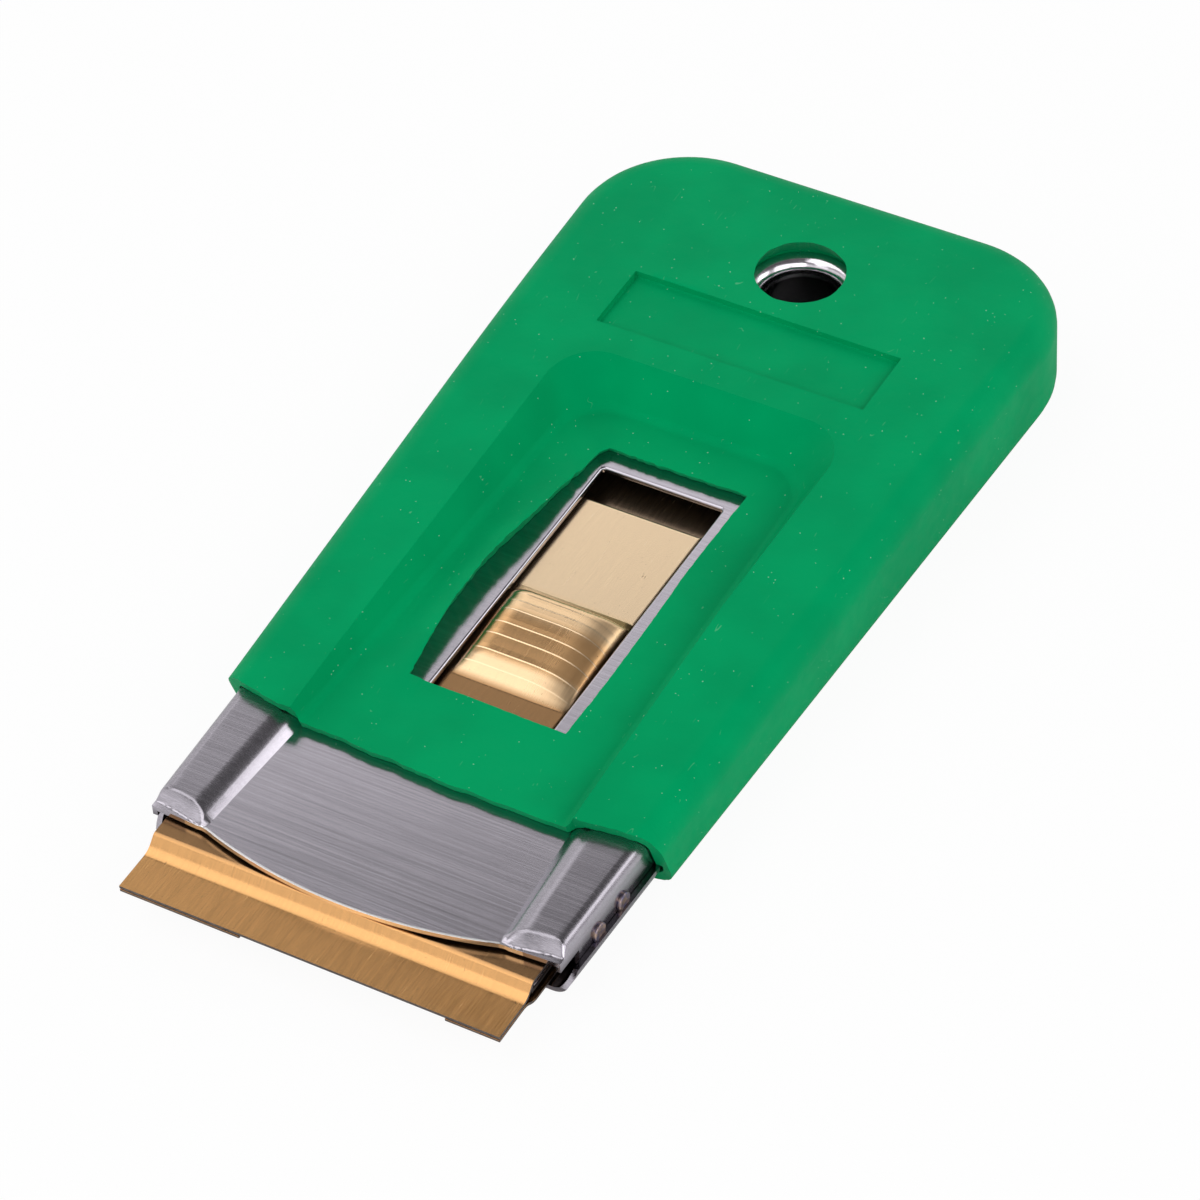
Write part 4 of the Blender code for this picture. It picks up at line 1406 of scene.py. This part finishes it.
def arch(share):
    """Quarter round, which rises steeply from 0 and is level at 1."""
    return math.sqrt(max(1.0 - (1.0 - share) ** 2, 0.0))


def crease_height(away, edge):
    """Height of the small crease at a distance behind the dome and from the tongue's edge."""
    length, fall, rise = 0.0007, 0.00012, 0.00012
    share = away / length if away < length else max(1.0 - (away - length) / fall, 0.0)
    return rise * share * min(edge / 0.0005, 1.0)


def line_share(away):
    """Share of a fine line's height at a distance behind it."""
    lead, length = 0.00005, 0.0006
    if not -lead < away < length:
        return 0.0
    return min((away + lead) / (2 * lead), 1.0) * (1.0 - max(away, 0.0) / length)


def dome_height(sizes, x, y):
    """Rise of the thumb dome over the tongue, with its fine lines and the crease behind it."""
    front = station(sizes.dome_front)
    back = station(sizes.dome_back)
    edge = max(sizes.dome_half + (sizes.dome_left if x < 0.0 else 0.0) - abs(x), 0.0)
    if y >= back:
        return crease_height(y - back, edge)
    if y <= front:
        return 0.0
    flank, end = 0.0034 if x > 0.0 else 0.0024, 0.0011
    along = rise_along(dome_slopes, y - front) * arch(min((back - y) / end, 1.0))
    across = arch(min(edge / flank, 1.0))
    bow = sizes.line_bow * (max(x, 0.0) / sizes.dome_half) ** 2
    lines = sum(rise * line_share(y + bow - station(place)) for place, rise in dome_lines)
    return along * across + lines * min(across * 1.5, 1.0)


def bare_cut_edges(item):
    """Give the upright cut edges of a leaf their bare steel finish, but not the tongue's sides."""
    item.data.materials.append(finish_named("Cut edge"))
    tongue_front, tongue_end = station(0.0295), dome_high.y - 0.0004
    for face in item.data.polygons:
        spot = face.center
        beside_tongue = abs(spot.x) < 0.007 and tongue_front < spot.y < tongue_end
        if abs(face.normal.z) < 0.35 and not beside_tongue:
            face.material_index = 1


def tongue_sheet(sizes, base):
    """Tongue with its thumb dome, whose back end bends down."""
    deselect_all()
    bpy.ops.mesh.primitive_grid_add(x_subdivisions=44, y_subdivisions=500, size=1.0)
    tongue = bpy.context.object
    tongue.name = "tongue"
    back = station(sizes.tongue_back)
    # Shares of the grid's length, with the places along Y that they reach
    row_places = (
        (0.0, station(0.0288)),
        (0.08, station(sizes.dome_front)),
        (0.80, station(sizes.dome_back + 0.0010)),
        (0.95, back - tongue_bend),
        (1.0, back),
    )

    def place(x, y, z):
        across = 2 * x
        half = sizes.dome_half + (sizes.plate_left if x < 0.0 else 0.0)
        wide = half * math.sin(across * math.pi / 2) * 0.35 + half * across * 0.65
        along = between(row_places, y + 0.5, 1)
        turned = unit((along - back + tongue_bend) / tongue_bend)
        drop = tongue_bend * (1.0 - math.sqrt(max(1.0 - turned**2, 0.0)))
        return wide, along, base + dome_height(sizes, wide, along) - drop

    form_by(tongue, place)
    thicken(tongue, sizes.leaf)
    side_line = sizes.dome_half - tiny

    def on_side(edge):
        high, low = normals(edge)
        outside = all(abs(v.co.x) > side_line for v in edge.verts)
        return outside and high.z > facing and abs(low.z) < 0.3

    bevel(tongue, on_side, 0.00006, 2)
    return tongue


def build_upper_leaf(sizes, material):
    """Upper leaf with its lip, joggle, pocket cover, and the tongue with its ribbed dome."""
    base = leaf_low.z + sizes.leaf * 2 + sizes.pocket
    lip_top = leaf_low.z + lip_rise + sizes.leaf * 2 + 0.0001
    line = [
        (station(0.0), lip_top),
        (station(sizes.lip), lip_top),
        (station(sizes.lip + sizes.joggle), base),
        (station(0.0290), base),
    ]
    item = sheet_strip("upper_leaf", rounded_line(line, (0.0012, 0.0003)), sizes.half + overrun)
    thicken(item, sizes.leaf)
    trim(item, mirrored(leaf_outline(sizes, 0.0265)), 0.0, 4 * overrun)
    cut(item, tongue_sheet(sizes, base), "UNION")
    back, high = sizes.tongue_back, base - tongue_bend - sizes.leaf / 2
    for middle in hook_places:
        hook = tool_box("hook_tool", hook_half, back - sizes.leaf, back, dome_low.z, high, middle)
        cut(item, hook, "UNION")
    dome_angle = math.radians(50)
    finish_piece(item, material, "clamp", ["clamp_leaf_top"], dome_angle)
    bare_cut_edges(item)


# Operators and panel


class SCRAPER_OT_finishes(bpy.types.Operator):
    """Make the materials and the node groups that they share"""

    bl_idname = "scraper.finishes"
    bl_label = "Finishes"

    def execute(self, context):
        tones = context.scene.scraper_colours
        brushed_group()
        speck_group()
        scratch_group()
        vinyl_material(tones)
        sheet_steel_material(tones, context.scene.scraper_housing)
        rolled_steel_material(tones)
        blade_material(tones)
        gold_material(tones, context.scene.scraper_clamp)
        bare = ((0.085, 0.068, 0.06), (0.19, 0.16, 0.145))
        clouded_metal("Cut edge", 1500.0, bare, (0.35, 0.5), stretch=6.0)
        heated = (tuple(tones.tint), (0.16, 0.15, 0.24))
        clouded_metal("Weld tint", 1500.0, heated, (0.3, 0.45), ends=(0.35, 0.65))
        blued = (tuple(tones.blue), (0.09, 0.08, 0.08))
        clouded_metal("Blued steel", 700.0, blued, (0.32, 0.48), metallic=0.8)
        return {"FINISHED"}


class SCRAPER_OT_grip(bpy.types.Operator):
    """Model the soft grip"""

    bl_idname = "scraper.grip"
    bl_label = "Soft Grip"

    def execute(self, context):
        scene = context.scene
        build_grip(scene.scraper_grip, scene.scraper_housing, finish_named("Green vinyl"))
        return {"FINISHED"}


class SCRAPER_OT_upper_shell(bpy.types.Operator):
    """Model the pressed upper shell"""

    bl_idname = "scraper.upper_shell"
    bl_label = "Upper Shell"

    def execute(self, context):
        build_upper_shell(context.scene.scraper_housing, finish_named("Brushed steel"))
        return {"FINISHED"}


class SCRAPER_OT_tray(bpy.types.Operator):
    """Model the lower tray with its curled edges"""

    bl_idname = "scraper.tray"
    bl_label = "Lower Tray"

    def execute(self, context):
        build_tray(context.scene.scraper_housing, finish_named("Brushed steel"))
        return {"FINISHED"}


class SCRAPER_OT_eyelet(bpy.types.Operator):
    """Turn the hanging hole's eyelet"""

    bl_idname = "scraper.eyelet"
    bl_label = "Eyelet"

    def execute(self, context):
        build_eyelet(finish_named("Rolled steel"))
        return {"FINISHED"}


class SCRAPER_OT_welds(bpy.types.Operator):
    """Model the four spot welds"""

    bl_idname = "scraper.welds"
    bl_label = "Spot Welds"

    def execute(self, context):
        for side in ("right", "left"):
            for count in (1, 2):
                build_weld(f"spot_weld_{side}_{count}", finish_named("Weld tint"))
        return {"FINISHED"}


class SCRAPER_OT_clamp(bpy.types.Operator):
    """Model the two leaves of the blade clamp"""

    bl_idname = "scraper.clamp"
    bl_label = "Blade Clamp"

    def execute(self, context):
        sizes = context.scene.scraper_clamp
        build_lower_leaf(sizes, finish_named("Gold passivated steel"))
        build_upper_leaf(sizes, finish_named("Gold passivated steel"))
        return {"FINISHED"}


class SCRAPER_OT_blade(bpy.types.Operator):
    """Give the blade and its spine their finishes"""

    bl_idname = "scraper.blade"
    bl_label = "Blade"

    def execute(self, context):
        for node, name in (("blade", "Ground blade steel"), ("blade_spine", "Blued steel")):
            frame["nodes"][node].data.materials.clear()
            frame["nodes"][node].data.materials.append(finish_named(name))
        return {"FINISHED"}


# Soft lights round the tool, each with its place, width, height and power
lights = {
    "overhead": ((-0.31, -0.17, 0.69), 0.95, 0.48, 2.35),
    "right_side": ((0.60, -0.12, 0.45), 0.50, 0.40, 0.95),
    "back_left": ((-0.34, 0.50, 0.52), 0.50, 0.20, 0.30),
    "right_strip": ((0.44, 0.42, 0.33), 0.35, 0.26, 0.58),
    "front_left": ((-0.30, -0.56, 0.48), 0.40, 0.26, 0.15),
    "front_right": ((0.40, -0.60, 0.52), 0.45, 0.35, 1.35),
}


def soft_light(name, place, width, height, power):
    """Rectangular soft light that faces the tool's middle."""
    lamp = bpy.data.lights.new(name, "AREA")
    lamp.shape = "RECTANGLE"
    lamp.size = width
    lamp.size_y = height
    lamp.energy = power
    item = bpy.data.objects.new(name, lamp)
    bpy.context.scene.collection.objects.link(item)
    turn = Vector(place).to_track_quat("Z", "Y").to_matrix().to_4x4()
    item.matrix_world = Matrix.Translation(place) @ turn


def set_camera(scene):
    """Camera at the photograph's viewing angle and distance."""
    turn, rise, roll = (math.radians(angle) for angle in (32.5, 44.4, -4.26))
    back = Vector((math.sin(turn) * math.cos(rise), -math.cos(turn) * math.cos(rise), math.sin(rise)))
    right = Vector((0, 0, 1)).cross(back).normalized()
    up = back.cross(right)
    tilted_right = right * math.cos(roll) + up * math.sin(roll)
    tilted_up = up * math.cos(roll) - right * math.sin(roll)
    centre = Vector((0.0, -0.0076, 0.0052))
    shift_right, shift_up, distance = 0.0035, 0.002, 0.4892
    place = centre + tilted_right * shift_right + tilted_up * shift_up + back * distance
    lens = bpy.data.cameras.new("camera")
    lens.lens = 159.75
    lens.sensor_width = 36.0
    lens.sensor_fit = "HORIZONTAL"
    lens.clip_start = 0.01
    camera = bpy.data.objects.new("camera", lens)
    scene.collection.objects.link(camera)
    frame_turn = Matrix((tilted_right, tilted_up, back)).transposed().to_4x4()
    camera.matrix_world = Matrix.Translation(place) @ frame_turn
    scene.camera = camera


def by_camera(tree, share, seen, lit, target):
    """Shader that only the camera sees, by a share, mixed with the one that lights the rest."""
    path = add(tree, "ShaderNodeLightPath")
    mixer = add(tree, "ShaderNodeMixShader")
    wire(tree, product(tree, path.outputs["Is Camera Ray"], share), mixer.inputs[0])
    wire(tree, lit.outputs[0], mixer.inputs[1])
    wire(tree, seen.outputs[0], mixer.inputs[2])
    wire(tree, mixer.outputs[0], target.inputs["Surface"])


def set_world(scene):
    """White background for the camera, softer light for everything else."""
    world = bpy.data.worlds.new("studio")
    scene.world = world
    world.use_nodes = True
    tree = world.node_tree
    light = tree.nodes["Background"]
    parts = split(tree, add(tree, "ShaderNodeTexCoord").outputs["Generated"])
    ramp = add(tree, "ShaderNodeValToRGB")
    stops = ((0.0, 1.0), (0.48, 1.0), (0.64, 0.35), (0.80, 0.14))
    while len(ramp.color_ramp.elements) < len(stops):
        ramp.color_ramp.elements.new(0.5)
    for stop, (place, value) in zip(ramp.color_ramp.elements, stops):
        stop.position = place
        stop.color = (value, value, value, 1.0)
    wire(tree, parts[2], ramp.inputs[0])
    right_side = spread(tree, parts[0], 0.25, 0.65, 1.0, 0.75)
    wire(tree, shade_by(tree, ramp.outputs[0], right_side), light.inputs["Color"])
    white = add(tree, "ShaderNodeBackground")
    for background in (light, white):
        background.inputs["Strength"].default_value = 1.0
    by_camera(tree, 1.0, white, light, tree.nodes["World Output"])


def add_floor(tones):
    """Pale floor under the tool."""
    deselect_all()
    bpy.ops.mesh.primitive_plane_add(size=3.0, location=(0.0, 0.0, -tiny))
    floor = bpy.context.object
    floor.name = "floor"
    tree, shader, place = new_material("Pale floor")
    cloud = noise_at(tree, place, 6.0)
    body = mix_colours(tree, cloud, shaded(tones.floor, 0.99), tuple(tones.floor))
    set_surface(tree, shader, body, 0.9)
    shader.inputs["Specular IOR Level"].default_value = 0.0
    glow = add(tree, "ShaderNodeEmission")
    by_camera(tree, 0.94, glow, shader, tree.nodes["Material Output"])
    floor.data.materials.append(finish_named("Pale floor"))


class SCRAPER_OT_stage(bpy.types.Operator):
    """Set up the floor, lights and camera"""

    bl_idname = "scraper.stage"
    bl_label = "Stage"

    def execute(self, context):
        scene = context.scene
        scene.view_settings.view_transform = "Standard"
        add_floor(scene.scraper_colours)
        set_world(scene)
        for name, values in lights.items():
            soft_light(name, *values)
        set_camera(scene)
        return {"FINISHED"}


class SCRAPER_PT_panel(bpy.types.Panel):
    """Buttons that build the scraper piece by piece"""

    bl_idname = "SCRAPER_PT_panel"
    bl_label = "Pocket Scraper"
    bl_space_type = "VIEW_3D"
    bl_region_type = "UI"
    bl_category = "Scraper"

    def draw(self, context):
        for operator in operators:
            self.layout.operator(operator.bl_idname)
        for name in property_groups:
            box = self.layout.box()
            values = getattr(context.scene, name)
            for key in property_groups[name].__annotations__:
                box.prop(values, key)


property_groups = {
    "scraper_grip": ScraperGripSizes,
    "scraper_housing": ScraperHousingSizes,
    "scraper_clamp": ScraperClampSizes,
    "scraper_colours": ScraperColours,
}
operators = (
    SCRAPER_OT_finishes,
    SCRAPER_OT_tray,
    SCRAPER_OT_upper_shell,
    SCRAPER_OT_welds,
    SCRAPER_OT_eyelet,
    SCRAPER_OT_grip,
    SCRAPER_OT_clamp,
    SCRAPER_OT_blade,
    SCRAPER_OT_stage,
)


def register():
    """Register the classes and the scene's properties."""
    for name, group in property_groups.items():
        bpy.utils.register_class(group)
        setattr(bpy.types.Scene, name, bpy.props.PointerProperty(type=group))
    for operator in operators:
        bpy.utils.register_class(operator)
    bpy.utils.register_class(SCRAPER_PT_panel)


def unregister():
    """Undo what register did."""
    bpy.utils.unregister_class(SCRAPER_PT_panel)
    for operator in reversed(operators):
        bpy.utils.unregister_class(operator)
    for name, group in property_groups.items():
        delattr(bpy.types.Scene, name)
        bpy.utils.unregister_class(group)


def main():
    """Build every piece."""
    register()
    bpy.ops.scraper.finishes()
    bpy.ops.scraper.tray()
    bpy.ops.scraper.upper_shell()
    bpy.ops.scraper.welds()
    bpy.ops.scraper.eyelet()
    bpy.ops.scraper.grip()
    bpy.ops.scraper.clamp()
    bpy.ops.scraper.blade()
    bpy.ops.scraper.stage()


if __name__ == "__main__":
    main()
